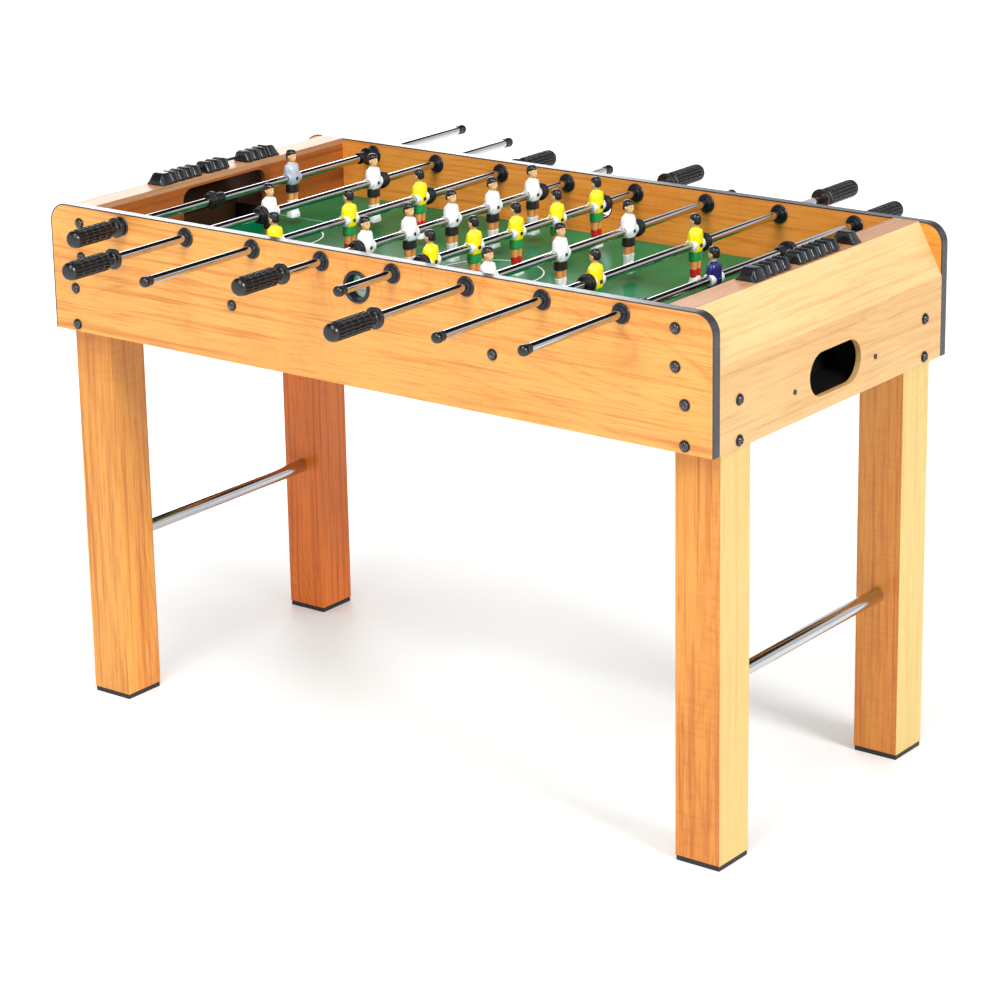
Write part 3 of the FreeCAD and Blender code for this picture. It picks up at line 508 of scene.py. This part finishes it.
def grip_and_cap(i):
    """The grip: a flange, a waisted neck and a ribbed barrel with a domed end; and the rod's cap. Both
    are profiles turned about the rod, and their domes are quarters of an ellipse."""
    low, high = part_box("rod_%d_grip_and_cap" % (i + 1))
    near = high[1] - rod_boxes[i][1][1] < rod_boxes[i][0][1] - low[1]
    way = -1 if near else 1
    tip = low[1] if near else high[1]
    start = tip - way * GRIP_LENGTH
    r = ROD_R + 0.05 * MM
    neck = [(r, 2.0), (r, 0.0), (15.5 * MM, 0), (15.5 * MM, 4.5), (9.8 * MM, 6.2), (8.6 * MM, 8.0),
            (8.6 * MM, 18.0), (13.6 * MM, 19.0)]
    neck = rounded([(a, b * MM) for a, b in neck], 0.8 * MM, 3)
    body = [(13.8 * MM, d) for d in np.linspace(19.5, 86.5, 135) * MM]
    a = np.linspace(0, PI / 2, 10)[1:-1]
    dome = [(6.8 * MM + 7 * MM * np.cos(t), 87 * MM + 11 * MM * np.sin(t)) for t in a]
    cover = [(5.0 * MM, 97.9 * MM), (2.0 * MM, GRIP_LENGTH), (TIP_R, GRIP_LENGTH)]
    b = Build()
    grip = np.vstack([neck, body, dome, cover])
    b.shell(turned(grip, ROD_X[i], start, ROD_Z, way, 168, ribs_and_rings))
    end = high[1] if near else low[1]
    cap = [(r, 0.5), (r, 0), (7.4 * MM, 0), (7.4 * MM, 7), (8.0 * MM, 8), (8.0 * MM, 12)]
    cap = rounded([(p, q * MM) for p, q in cap], 0.7 * MM, 3)
    a = np.linspace(0, PI / 2, 9)[1:]
    cap_r = 2.5 * MM + 5.5 * MM * np.cos(a)
    cap_r[-1] = TIP_R
    cap_dome = np.column_stack([cap_r, (12 + 6 * np.sin(a)) * MM])
    b.shell(turned(np.vstack([cap, cap_dome]), ROD_X[i], end + way * CAP_LENGTH, ROD_Z, -way, 40))
    b.object("rod_%d_grip" % (i + 1), [grip_rubber], "rod_%d_spin" % (i + 1),
             ["rod_%d_grip_and_cap" % (i + 1)])


def bumper_pair(i):
    """Stepped rubber bumpers, wide end towards the players, and the keeper rods' collars."""
    low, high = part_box("rod_%d_bumpers" % (i + 1))
    b = Build()
    r = ROD_R + 0.04 * MM
    profile = [(r, 0), (14.0 * MM, 0), (14.0 * MM, 6.4 * MM), (11.2 * MM, 7.4 * MM),
               (12.0 * MM, 8.6 * MM), (12.0 * MM, BUMPER_LENGTH), (r, BUMPER_LENGTH)]
    for way, tip in ((-1, low[1]), (1, high[1])):
        start = tip - way * BUMPER_LENGTH
        b.shell(turned(rounded(profile, 1.1 * MM, 3, True), ROD_X[i], start, ROD_Z, way), ring=True)
        if PLAYERS[i] == 1:
            collar = [(r, -20 * MM), (9.5 * MM, -20 * MM), (9.5 * MM, -6 * MM), (r, -6 * MM)]
            b.shell(turned(rounded(collar, 1.0 * MM, 3, True), ROD_X[i], start, ROD_Z, way), ring=True)
    b.object("rod_%d_stops" % (i + 1), [rubber], "rod_%d_slide" % (i + 1),
             ["rod_%d_bumpers" % (i + 1)])


BOSS_HALF = 15 * MM


def player_places(i):
    """Where the players of a rod stand along it: evenly from one end of their box to the other, each
    end half a boss in."""
    low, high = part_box("rod_%d_players" % (i + 1))
    if PLAYERS[i] == 1:
        return [(low[1] + high[1]) / 2]
    return np.linspace(low[1] + BOSS_HALF, high[1] - BOSS_HALF, PLAYERS[i])


# stations: height, half width (Y), half depth (X), forward, sideways, power (all mm but the power)
TORSO = [(-10.5, 10.2, 7.4, 0, 0, 2.6), (-9, 11.2, 8.8, 0, 0, 2.6), (-4, 11.8, 10.0, 0.3, 0, 2.7),
         (0, 12.0, 10.4, 0.4, 0, 2.7), (5, 12.0, 10.3, 0.4, 0, 2.6), (11, 12.2, 9.6, 0.3, 0, 2.5),
         (16, 12.4, 8.6, 0.0, 0, 2.4), (20, 11.6, 7.2, -0.3, 0, 2.2), (23, 8.6, 5.8, -0.4, 0, 2.1),
         (25, 5.4, 4.6, -0.3, 0, 2.0)]
ARM = [(21.6, 2.0, 3.0, -0.6, 10.0, 2.0), (20, 3.2, 4.2, -0.6, 10.6, 2.0), (15, 3.4, 4.8, -0.8, 11.5, 2.0),
       (8, 3.2, 4.8, -0.6, 12.0, 2.1), (2, 3.0, 4.6, 0.6, 12.1, 2.1), (-3, 2.8, 4.2, 2.4, 11.7, 2.0),
       (-6.5, 2.4, 3.4, 3.6, 11.0, 2.0), (-8.5, 1.4, 2.0, 4.2, 10.4, 2.0)]
NECK = [(14.0, 0.5, 0.5, 8.0, 0, 2.0), (15.5, 1.3, 1.2, 7.2, 0, 2.0), (19, 3.0, 2.4, 4.6, 0, 2.0),
        (23, 4.0, 3.8, 1.4, 0, 2.0), (26.5, 4.0, 4.2, 0.4, 0, 2.0), (30, 4.1, 4.4, 0.5, 0, 2.0)]
HEAD = [(25.8, 1.4, 1.8, 2.9, 0, 2.0), (26.8, 3.4, 4.2, 2.3, 0, 2.1), (29, 5.1, 6.1, 1.4, 0, 2.2),
        (32, 5.9, 7.0, 0.8, 0, 2.2), (35.5, 6.4, 7.4, 0.4, 0, 2.2), (39, 6.4, 7.5, 0.1, 0, 2.2),
        (42.2, 5.6, 6.6, -0.3, 0, 2.1), (44.4, 3.8, 4.6, -0.6, 0, 2.0), (45.2, 1.5, 2.0, -0.6, 0, 2.0)]
HAIR = [(30.5, 5.4, 3.0, -4.6, 0, 2.2), (33.0, 6.6, 4.7, -3.6, 0, 2.3), (36.0, 7.1, 6.0, -2.5, 0, 2.3),
        (38.4, 7.2, 7.6, -0.9, 0, 2.3), (40.2, 7.1, 8.3, -0.2, 0, 2.3), (42.8, 6.4, 7.7, -0.3, 0, 2.2),
        (45.0, 4.5, 5.4, -0.6, 0, 2.1), (46.0, 1.8, 2.2, -0.6, 0, 2.0)]
NOSE = [(31.0, 0.8, 0.9, 7.6, 0, 2.0), (32.0, 1.3, 1.8, 7.5, 0, 2.0), (34.0, 0.9, 1.3, 7.4, 0, 2.0),
        (36.4, 0.5, 0.6, 7.2, 0, 2.0)]
EAR = [(31.6, 0.5, 0.9, -0.4, 6.3, 2.0), (33.0, 0.9, 1.5, -0.5, 6.6, 2.0), (35.2, 0.9, 1.7, -0.6, 6.7, 2.0),
       (36.6, 0.4, 0.9, -0.6, 6.5, 2.0)]
EYE = [(34.6, 0.5, 0.3, 7.0, 2.5, 2.0), (35.2, 1.0, 0.7, 6.9, 2.5, 2.0), (35.8, 0.5, 0.3, 7.0, 2.5, 2.0)]
BROW = [(36.9, 0.9, 0.3, 7.1, 2.6, 2.0), (37.3, 1.5, 0.6, 7.0, 2.6, 2.0), (37.7, 0.9, 0.3, 6.9, 2.6, 2.0)]
MOUTH = [(28.7, 0.9, 0.3, 7.0, 0, 2.0), (29.1, 1.5, 0.6, 6.9, 0, 2.0), (29.5, 0.9, 0.3, 7.1, 0, 2.0)]
SHORTS = [(-23, 10.6, 7.6, 0, 0, 2.8), (-22.2, 11.4, 8.3, 0, 0, 2.8), (-17, 11.2, 8.2, 0, 0, 2.7),
          (-12, 10.9, 8.0, 0, 0, 2.6), (-9, 10.4, 7.6, 0, 0, 2.6)]
THIGH = [(-37, 4.2, 4.7, 0, 5.1, 2.3), (-33, 4.5, 5.3, 0, 5.1, 2.3), (-26, 4.8, 5.9, 0, 5.1, 2.3),
         (-21, 4.9, 6.1, 0, 5.1, 2.3)]
SOCK = [(-50, 3.9, 4.6, 0, 4.8, 2.3), (-45, 4.3, 5.1, 0, 5.0, 2.3), (-38.5, 4.7, 5.6, 0, 5.1, 2.3),
        (-36, 4.8, 5.7, 0, 5.1, 2.3), (-35.4, 4.0, 4.8, 0, 5.1, 2.3)]
BOOT = [(-63.8, 9.6, 7.4, 0.0, 0, 4.0), (-63.2, 10.6, 8.4, 0.0, 0, 4.0), (-58, 10.2, 8.2, 0.2, 0, 3.6),
        (-53, 9.4, 6.8, 0.2, 0, 3.2), (-48.5, 8.9, 5.8, 0, 0, 3.0), (-46.6, 8.2, 5.0, 0, 0, 2.8)]
# the places of a figure's paints in its list of materials
SHIRT, BOSS, TRUNKS, SOCKS, SKIN, LEG, HAIR_BLACK, WHITE, SCREW, LIPS = range(10)
KITS = {"white": (white, white, black, white), "yellow": (yellow, white, short_green, red),
        "keeper_light": (grey, grey, black, white), "keeper_dark": (blue, white, black, white)}


def figures(i):
    """All the players of one rod: stacked superellipse sections for the body, a boss turned about the
    rod and a clamp screw in the chest."""
    shirt, boss, shorts, socks = KITS[TEAM[i]]
    mats = [shirt, boss, shorts, socks, skin, thigh, hair, white, screw_black, lips]
    b = Build()
    face = FACING[i]

    def add(rows, paint, times=4, side=1, columns=28):
        r = np.array(rows, float)
        r[:, :5] *= MM
        r[:, 4] *= side
        b.shell(stack(smooth_rows(r, times), ROD_X[i], y, ROD_Z, face, columns), paint)

    for y in player_places(i):
        add(TORSO, SHIRT)
        for side in (-1, 1):
            add(ARM, SHIRT, 4, side, 20)
            add(THIGH, LEG, 3, side, 20)
            add(SOCK, SOCKS, 3, side, 20)
            add(EAR, SKIN, 3, side, 12)
            add(EYE, HAIR_BLACK, 3, side, 10)
            add(BROW, HAIR_BLACK, 3, side, 10)
        add(NECK, SKIN, 3)
        add(HEAD, SKIN, 4, 1, 32)
        add(NOSE, SKIN, 3, 1, 12)
        add(MOUTH, LIPS, 3, 1, 12)
        add(HAIR, HAIR_BLACK, 4, 1, 32)
        add(SHORTS, TRUNKS)
        add(BOOT, WHITE)
        r = ROD_R + 0.04 * MM
        ring = [(r, -BOSS_HALF), (8.6 * MM, -BOSS_HALF), (9.2 * MM, -12 * MM), (9.2 * MM, 12 * MM),
                (8.6 * MM, BOSS_HALF), (r, BOSS_HALF)]
        b.shell(turned(rounded(ring, 0.8 * MM, 2, True), ROD_X[i], y, ROD_Z), BOSS, ring=True)
        grid = turned(np.array([(2.7, 6), (2.7, 11.4), (2.1, 11.7), (1.3, 11.5)]) * MM, 0, 0, 0, 1, 16)
        screw = np.stack([ROD_X[i] + grid[..., 1], y + grid[..., 0], ROD_Z + grid[..., 2]], axis=-1)
        b.shell(screw, SCREW)
    b.object("rod_%d_figures" % (i + 1), mats, "rod_%d_spin" % (i + 1),
             ["rod_%d_players" % (i + 1)])


for i in range(ROD_COUNT):
    rod_piece(i)
    grip_and_cap(i)
    bumper_pair(i)
    figures(i)


# ---------------------------------------------------------------- bushings, ball entry, bolts
def bushing_rings():
    """The flanged bushings outside and inside the panels, as profiles turned about each rod."""
    b = Build()
    bore = ROD_R + 0.08 * MM
    flange = [(14.75, 0), (14.75, 1.4), (13.6, 3.0), (11.6, 3.2), (10.6, 2.4), (10.0, 3.0), (10.0, 5.5),
              (8.2, 5.5), (7.4, 4.9)]
    flange = [(bore, 0)] + [(r * MM, d * MM) for r, d in flange] + [(bore, 4.9 * MM)]
    profile = rounded(flange, 0.6 * MM, 3, True)
    for x in ROD_X:
        for side in (-1, 1):
            outside, inside = side * abs(panel_low[1]), side * abs(panel_high[1])
            b.shell(turned(profile, x, outside, ROD_Z, side), ring=True)
            b.shell(turned(profile, x, inside, ROD_Z, -side), ring=True)
    b.object("bushing_rings", [bushing_black], "table", ["rod_bushings", "bushing_nuts"])


def entry_liners():
    """The round liners of the ball entries: a rolled lip outside and a plain sleeve through the panel."""
    low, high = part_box("ball_entry_rings")
    z = (low[2] + high[2]) / 2
    b = Build()
    reach = high[1]
    profile = [(18.2, 18.5), (18.2, 2.0), (19.6, 0), (22.4, 0), (24.0, 1.6), (24.0, 3.5), (20.5, 3.5),
               (20.5, 18.5)]
    profile = rounded([(r * MM, d * MM) for r, d in profile], 0.8 * MM, 3, True)
    for side in (-1, 1):
        b.shell(turned(profile, 0, side * reach, z, -side, 64), ring=True)
    b.object("entry_liners", [bushing_black], "table", ["ball_entry_rings"])


# a bolt's own sizes, in millimetres
SHANK_R, SHANK_DEPTH = 3.0, 9
WASHER_HOLE_R, WASHER_R, WASHER_THICK = 3.3, 8.4, 1.4
HEAD_R, RIM_R = 6.6, 3.4
SOCKET_HALF = 2.7
# and where the bolts are
PANEL_BOLT_DROPS = (26.5 * MM, 79.5 * MM)
LOW_BOLT_RISES = (68 * MM, 11 * MM)
RAIL_BOLT_X = 240 * MM
END_BOLT_Y = 246 * MM


def bolt_heads():
    """Dome-head socket bolts with washers: a quarter-ellipse dome turned about the bolt's axis, with a
    six-sided socket whose wall lies at flat / cos(angle from the nearest flat)."""
    b = Build()
    u = np.linspace(0, 2 * PI, 36, endpoint=False)
    hexagon = SOCKET_HALF / np.cos((u + PI / 6) % (PI / 3) - PI / 6)
    a = np.linspace(0, PI / 2, 8)
    dome_r = RIM_R + (HEAD_R - RIM_R) * np.cos(a)
    dome_d = WASHER_THICK + 0.8 + 2.6 * np.sin(a)
    washer = [(WASHER_HOLE_R, 0), (WASHER_R, 0), (WASHER_R, WASHER_THICK), (WASHER_HOLE_R, WASHER_THICK)]
    washer = rounded(washer, 0.35, 2, True) * MM
    rows = [(SHANK_R, -SHANK_DEPTH), (SHANK_R, WASHER_THICK), (6.3, WASHER_THICK), (HEAD_R, 1.7)]
    rows += list(zip(dome_r, dome_d))
    rows += [(hexagon, 4.7), (hexagon * 0.99, 1.6), (hexagon * 0.3, 1.5)]
    radius = np.array([0 * u + r for r, _ in rows]) * MM
    depth = np.array([d for _, d in rows])[:, None] * MM + 0 * u
    head = np.stack([radius * np.cos(u), radius * np.sin(u), depth], axis=-1)
    flat = np.stack([washer[:, :1] * np.cos(u), washer[:, :1] * np.sin(u), washer[:, 1:] + 0 * u], axis=-1)

    def place(grid, at, axis, side):
        out = np.empty_like(grid)
        others = [k for k in range(3) if k != axis]
        out[..., axis] = at[axis] + side * grid[..., 2]
        out[..., others[0]] = at[others[0]] + grid[..., 0]
        out[..., others[1]] = at[others[1]] + grid[..., 1]
        return out

    def bolt(at, axis, side):
        b.shell(place(head, at, axis, side))
        b.shell(place(flat, at, axis, side), 1, ring=True)

    face_y, leg_x = abs(panel_low[1]), (leg_low[0] + leg_high[0]) / 2
    rail_low, rail_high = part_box("field_supports")
    spots = [(LEDGE_X, TOP_Z - drop) for drop in PANEL_BOLT_DROPS]
    spots += [(leg_x, BOTTOM_Z + rise) for rise in LOW_BOLT_RISES]
    spots += [(RAIL_BOLT_X, (rail_low[2] + rail_high[2]) / 2)]
    for x, z in spots:
        for sx in (-1, 1):
            for sy in (-1, 1):
                bolt((sx * x, sy * face_y, z), 1, sy)
    for sx in (-1, 1):
        for y in (-END_BOLT_Y, END_BOLT_Y):
            for rise in LOW_BOLT_RISES:
                bolt((sx * END_X, y, BOTTOM_Z + rise), 0, sx)
    b.object("bolt_heads", [bolt_steel, washer_steel], "table", ["cabinet_bolts"])


bushing_rings()
entry_liners()
bolt_heads()


# ---------------------------------------------------------------- cross tubes
def cross_tube_bars():
    """The two plated cross tubes as thin-walled bars."""
    low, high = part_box("cross_tubes")
    r = (high[2] - low[2]) / 2
    b = Build()
    wall, length = 1.5 * MM, high[1] - low[1]
    profile = rounded([(r - wall, 0), (r, 0), (r, length), (r - wall, length)], 0.4 * MM, 3, True)
    for side in (-1, 1):
        x = side * (high[0] - r)
        b.shell(turned(profile, x, low[1], (low[2] + high[2]) / 2, 1, 64), ring=True)
    b.object("cross_tube_bars", [plated_tube], "table", ["cross_tubes"])


cross_tube_bars()


# ---------------------------------------------------------------- scorers
BEAD_LIFT = 1.0
BEAD_GAP = 0.2 * MM


def hip_section(half_base, half_top, low, high):
    """A trapezoid outline with short upright sides and rounded corners, as (across, up) points in
    millimetres."""
    side = low + 3.2
    points = [(-half_base, low), (half_base, low), (half_base, side), (half_top, high),
              (-half_top, high), (-half_base, side)]
    return rounded(points, 1.4, 5, True)


def bead_grid(x, y, length):
    """One bead: the trapezoid outline scaled by 1 - 0.14 |2t - 1|^1.2 along its length, so that it
    swells to a ridge in its middle; its two end rows are 0.05 smaller still."""
    t = np.linspace(0, 1, 17)
    outline = hip_section(17.4, 10.2, BEAD_LIFT, 17.6) * MM
    ridge = 1 - 0.14 * np.abs(2 * t - 1) ** 1.2
    ridge[[0, -1]] -= 0.05
    across = outline[None, :, 0] * ridge[:, None]
    up = BEAD_LIFT * MM + (outline[None, :, 1] - BEAD_LIFT * MM) * ridge[:, None]
    along = y + length * t[:, None] + 0 * across
    return np.stack([x + across, along, TOP_Z + up], axis=-1)


def beads(node, x, groups, space, body):
    """A row of beads in groups, with a space between the groups, from the node's near end on."""
    low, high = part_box(node)
    count = sum(groups)
    pitch = (high[1] - low[1] + BEAD_GAP - space * (len(groups) - 1)) / count
    b = Build()
    start = low[1]
    for group in groups:
        for k in range(group):
            b.shell(bead_grid(x, start + k * pitch, pitch - BEAD_GAP))
        start += group * pitch + space
    b.object(node + "_row", [scorer_black], body, [node])


BRACKET_LENGTH = 23.5 * MM
BRACKET_STEPS = np.array([0, 0.03, 0.12, 0.25, 0.38, 0.5, 0.7, 0.9, 0.97, 1.0])
BRACKET_HEIGHTS = np.array([0.34, 0.40, 0.60, 0.86, 0.97, 1.0, 1.0, 1.0, 0.985, 0.95])


def scorer_brackets():
    """The end brackets and the thin rod between them. A bracket is the trapezoid outline carried
    along from the scorer's end: its height grows by the listed shares of the whole, and its width
    follows as 0.9 + a tenth of that share until it is nearly whole."""
    low, high = frames_low, frames_high
    b = Build()
    outline = hip_section(17.9, 10.2, 0.0, 18.0) * MM
    width = np.where(BRACKET_HEIGHTS > 0.9, BRACKET_HEIGHTS, 0.90 + 0.1 * BRACKET_HEIGHTS)
    across = outline[None, :, 0] * width[:, None]
    up = outline[None, :, 1] * BRACKET_HEIGHTS[:, None]
    bar_r, bar_inset, bar_lift = 2.5 * MM, 13.5 * MM, 9.5 * MM
    for sx in (-1, 1):
        x = sx * LEDGE_X
        for side in (-1, 1):
            end = high[1] if side > 0 else low[1]
            along = end - side * BRACKET_LENGTH * BRACKET_STEPS[:, None] + 0 * across
            b.shell(np.stack([x + across, along, TOP_Z + up], axis=-1))
        bar = [(bar_r, low[1] + bar_inset), (bar_r, high[1] - bar_inset)]
        b.shell(turned(bar, x, 0, TOP_Z + bar_lift, 1, 24))
    b.object("scorer_brackets", [scorer_black], "table", ["scorer_frames"])


scorer_brackets()
beads("beads_left_near", -LEDGE_X, (4, 3), 13 * MM, "score_left_near")
beads("beads_left_far", -LEDGE_X, (3,), 0, "score_left_far")
beads("beads_right_near", LEDGE_X, (4,), 0, "score_right_near")
beads("beads_right_far", LEDGE_X, (6,), 0, "score_right_far")


# ---------------------------------------------------------------- field markings
def stripe(b, path, width=2.4 * MM, closed=False):
    """A thin printed stripe along a path on the field: a flat closed strip half the width to each
    side of the path, along the path's own normal."""
    p = np.asarray(path, float)
    ahead = np.roll(p, -1, axis=0) - np.roll(p, 1, axis=0)
    if not closed:
        ahead[0], ahead[-1] = p[1] - p[0], p[-1] - p[-2]
    ahead /= np.linalg.norm(ahead, axis=1, keepdims=True)
    side = np.stack([-ahead[:, 1], ahead[:, 0]], axis=-1) * width / 2
    low, high = FIELD_Z - 0.05 * MM, FIELD_Z + 0.12 * MM
    corners = [(p - side, low), (p + side, low), (p + side, high), (p - side, high)]
    grid = np.stack([np.column_stack([q, np.full(len(q), z)]) for q, z in corners], axis=1)
    b.shell(grid, ring=closed)


CIRCLE_R = 83 * MM
BOX_X, BOX_HALF = 416 * MM, 121 * MM
ARC_X, ARC_R = 430 * MM, 82 * MM
LINE_END_GAP = 1 * MM


def field_lines():
    """The printed markings: centre circle and line, and two penalty boxes, each with the part of a
    circle round a spot inside it that reaches past its front line."""
    b = Build()
    u = np.linspace(0, 2 * PI, 96, endpoint=False)
    stripe(b, np.column_stack([np.cos(u), np.sin(u)]) * CIRCLE_R, closed=True)
    end, half = field_high[0] - LINE_END_GAP, field_high[1] - LINE_END_GAP
    stripe(b, [(0, -half), (0, -CIRCLE_R)])
    stripe(b, [(0, half), (0, CIRCLE_R)])
    stripe(b, [(0, -CIRCLE_R + LINE_END_GAP), (0, CIRCLE_R - LINE_END_GAP)])
    reach = np.arccos((ARC_X - BOX_X) / ARC_R)
    a = np.linspace(-reach, reach, 40)
    for s in (-1, 1):
        stripe(b, [(s * end, -BOX_HALF), (s * BOX_X, -BOX_HALF), (s * BOX_X, BOX_HALF), (s * end, BOX_HALF)])
        stripe(b, np.column_stack([s * (ARC_X - ARC_R * np.cos(a)), ARC_R * np.sin(a)]))
    b.object("field_lines", [paint_line], "table")


field_lines()


# ---------------------------------------------------------------- floor, light and camera
FLOOR_HALF = 40.0


def floor():
    """A plain pale floor."""
    mesh = bpy.data.meshes.new("floor")
    s = FLOOR_HALF
    mesh.from_pydata([(-s, -s, 0), (s, -s, 0), (s, s, 0), (-s, s, 0)], [], [(0, 1, 2, 3)])
    obj = bpy.data.objects.new("floor", mesh)
    bpy.context.scene.collection.objects.link(obj)
    f = Finish("floor")
    haze = f.noise(f.place, scale=1.2, detail=2)
    mesh.materials.append(f.set(Base_Color=f.mix(haze, (0.86, 0.86, 0.86), (0.84, 0.84, 0.84)), Roughness=0.6,
                                Emission_Color=(1, 1, 1, 1), Emission_Strength=0.12))


def aimed(place, x, y, z):
    """The matrix of an object at a place whose own axes are x, y and z."""
    m = Matrix.Identity(4)
    for r in range(3):
        m[r][0], m[r][1], m[r][2], m[r][3] = x[r], y[r], z[r], place[r]
    return m


def lamp(name, light, place, target):
    """A lamp at a place that shines on a target."""
    obj = bpy.data.objects.new(name, light)
    z = np.array(place, float) - np.array(target, float)
    z /= np.linalg.norm(z)
    x = np.cross([0, 0, 1.0], z)
    x /= np.linalg.norm(x)
    obj.matrix_world = aimed(place, x, np.cross(z, x), z)
    bpy.context.scene.collection.objects.link(obj)


def softbox(name, place, target, size, power):
    """A square area lamp of a side length in metres and a power in watts."""
    light = bpy.data.lights.new(name, "AREA")
    light.shape, light.size, light.energy = "SQUARE", size, power
    lamp(name, light, place, target)


def sun(name, place, strength, angle):
    """A distant lamp that shines from the place's direction, with a wide soft disc."""
    light = bpy.data.lights.new(name, "SUN")
    light.energy, light.angle = strength, angle
    lamp(name, light, place, (0, 0, 0))


SKY_STRENGTH = 1.05
# (height of a direction, from -1 straight down to 1 straight up; its brightness)
SKY_LIGHT = ((0.0, 0.9), (0.01, 0.02), (0.52, 0.02), (0.58, 1.0), (0.80, 1.0), (1.0, 0.9))
SKY_MIRRORED = ((0.0, 0.9), (0.02, 0.50), (0.22, 0.85), (0.44, 0.75), (0.49, 0.015), (1.0, 0.015))


def studio_sky():
    """Soft studio surround, bright overhead above a dark belt. In reflections it is the other way
    about, bright walls under a dark ceiling, which gives the plated rods a dark line between two
    bright ones."""
    world = bpy.data.worlds.new("studio")
    world.use_nodes = True
    tree = world.node_tree
    back = tree.nodes["Background"]
    place = tree.nodes.new("ShaderNodeTexCoord")
    split = tree.nodes.new("ShaderNodeSeparateXYZ")
    ray = tree.nodes.new("ShaderNodeLightPath")
    choose = tree.nodes.new("ShaderNodeMix")
    choose.data_type = "RGBA"
    tree.links.new(place.outputs["Generated"], split.inputs[0])
    tree.links.new(ray.outputs["Is Glossy Ray"], choose.inputs[0])
    for socket, stops in ((6, SKY_LIGHT), (7, SKY_MIRRORED)):
        ramp = tree.nodes.new("ShaderNodeValToRGB")
        tree.links.new(split.outputs[2], ramp.inputs[0])
        tree.links.new(ramp.outputs[0], choose.inputs[socket])
        while len(ramp.color_ramp.elements) < len(stops):
            ramp.color_ramp.elements.new(0.5)
        for element, (where, value) in zip(ramp.color_ramp.elements, stops):
            element.position = where
            element.color = (value, value, value, 1)
    tree.links.new(choose.outputs[2], back.inputs[0])
    back.inputs[1].default_value = SKY_STRENGTH
    bpy.context.scene.world = world


floor()
studio_sky()
sun("key", (0.86, -0.14, 0.50), 2.65, 0.35)
softbox("front fill", (0.6, -4.2, 4.2), (0, 0, 0.6), 2.4, 90)
softbox("overhead", (0.2, -1.6, 3.6), (0, 0, 0.7), 1.6, 42)
softbox("back sheen", (-3.8, 3.8, 2.3), (0, 0, 0.8), 2.4, 60)

SENSOR = 36.0
EYE_PLACE = (2.82758, -3.69173, 1.90086)
EYE_RIGHT = (0.79255459, 0.6094886, -0.0195161)
EYE_UP = (-0.16097461, 0.23997935, 0.95733854)
EYE_BACK = (0.58817039, -0.75560146, 0.28830893)

camera = bpy.data.cameras.new("camera")
camera.sensor_width = SENSOR
camera.lens = 3.20352 * SENSOR
camera.shift_x, camera.shift_y = 0.03301, -0.09004
camera.clip_end = 200.0
view = bpy.data.objects.new("camera", camera)
view.matrix_world = aimed(EYE_PLACE, EYE_RIGHT, EYE_UP, EYE_BACK)
bpy.context.scene.collection.objects.link(view)
bpy.context.scene.camera = view
bpy.context.scene.view_settings.view_transform = "Standard"
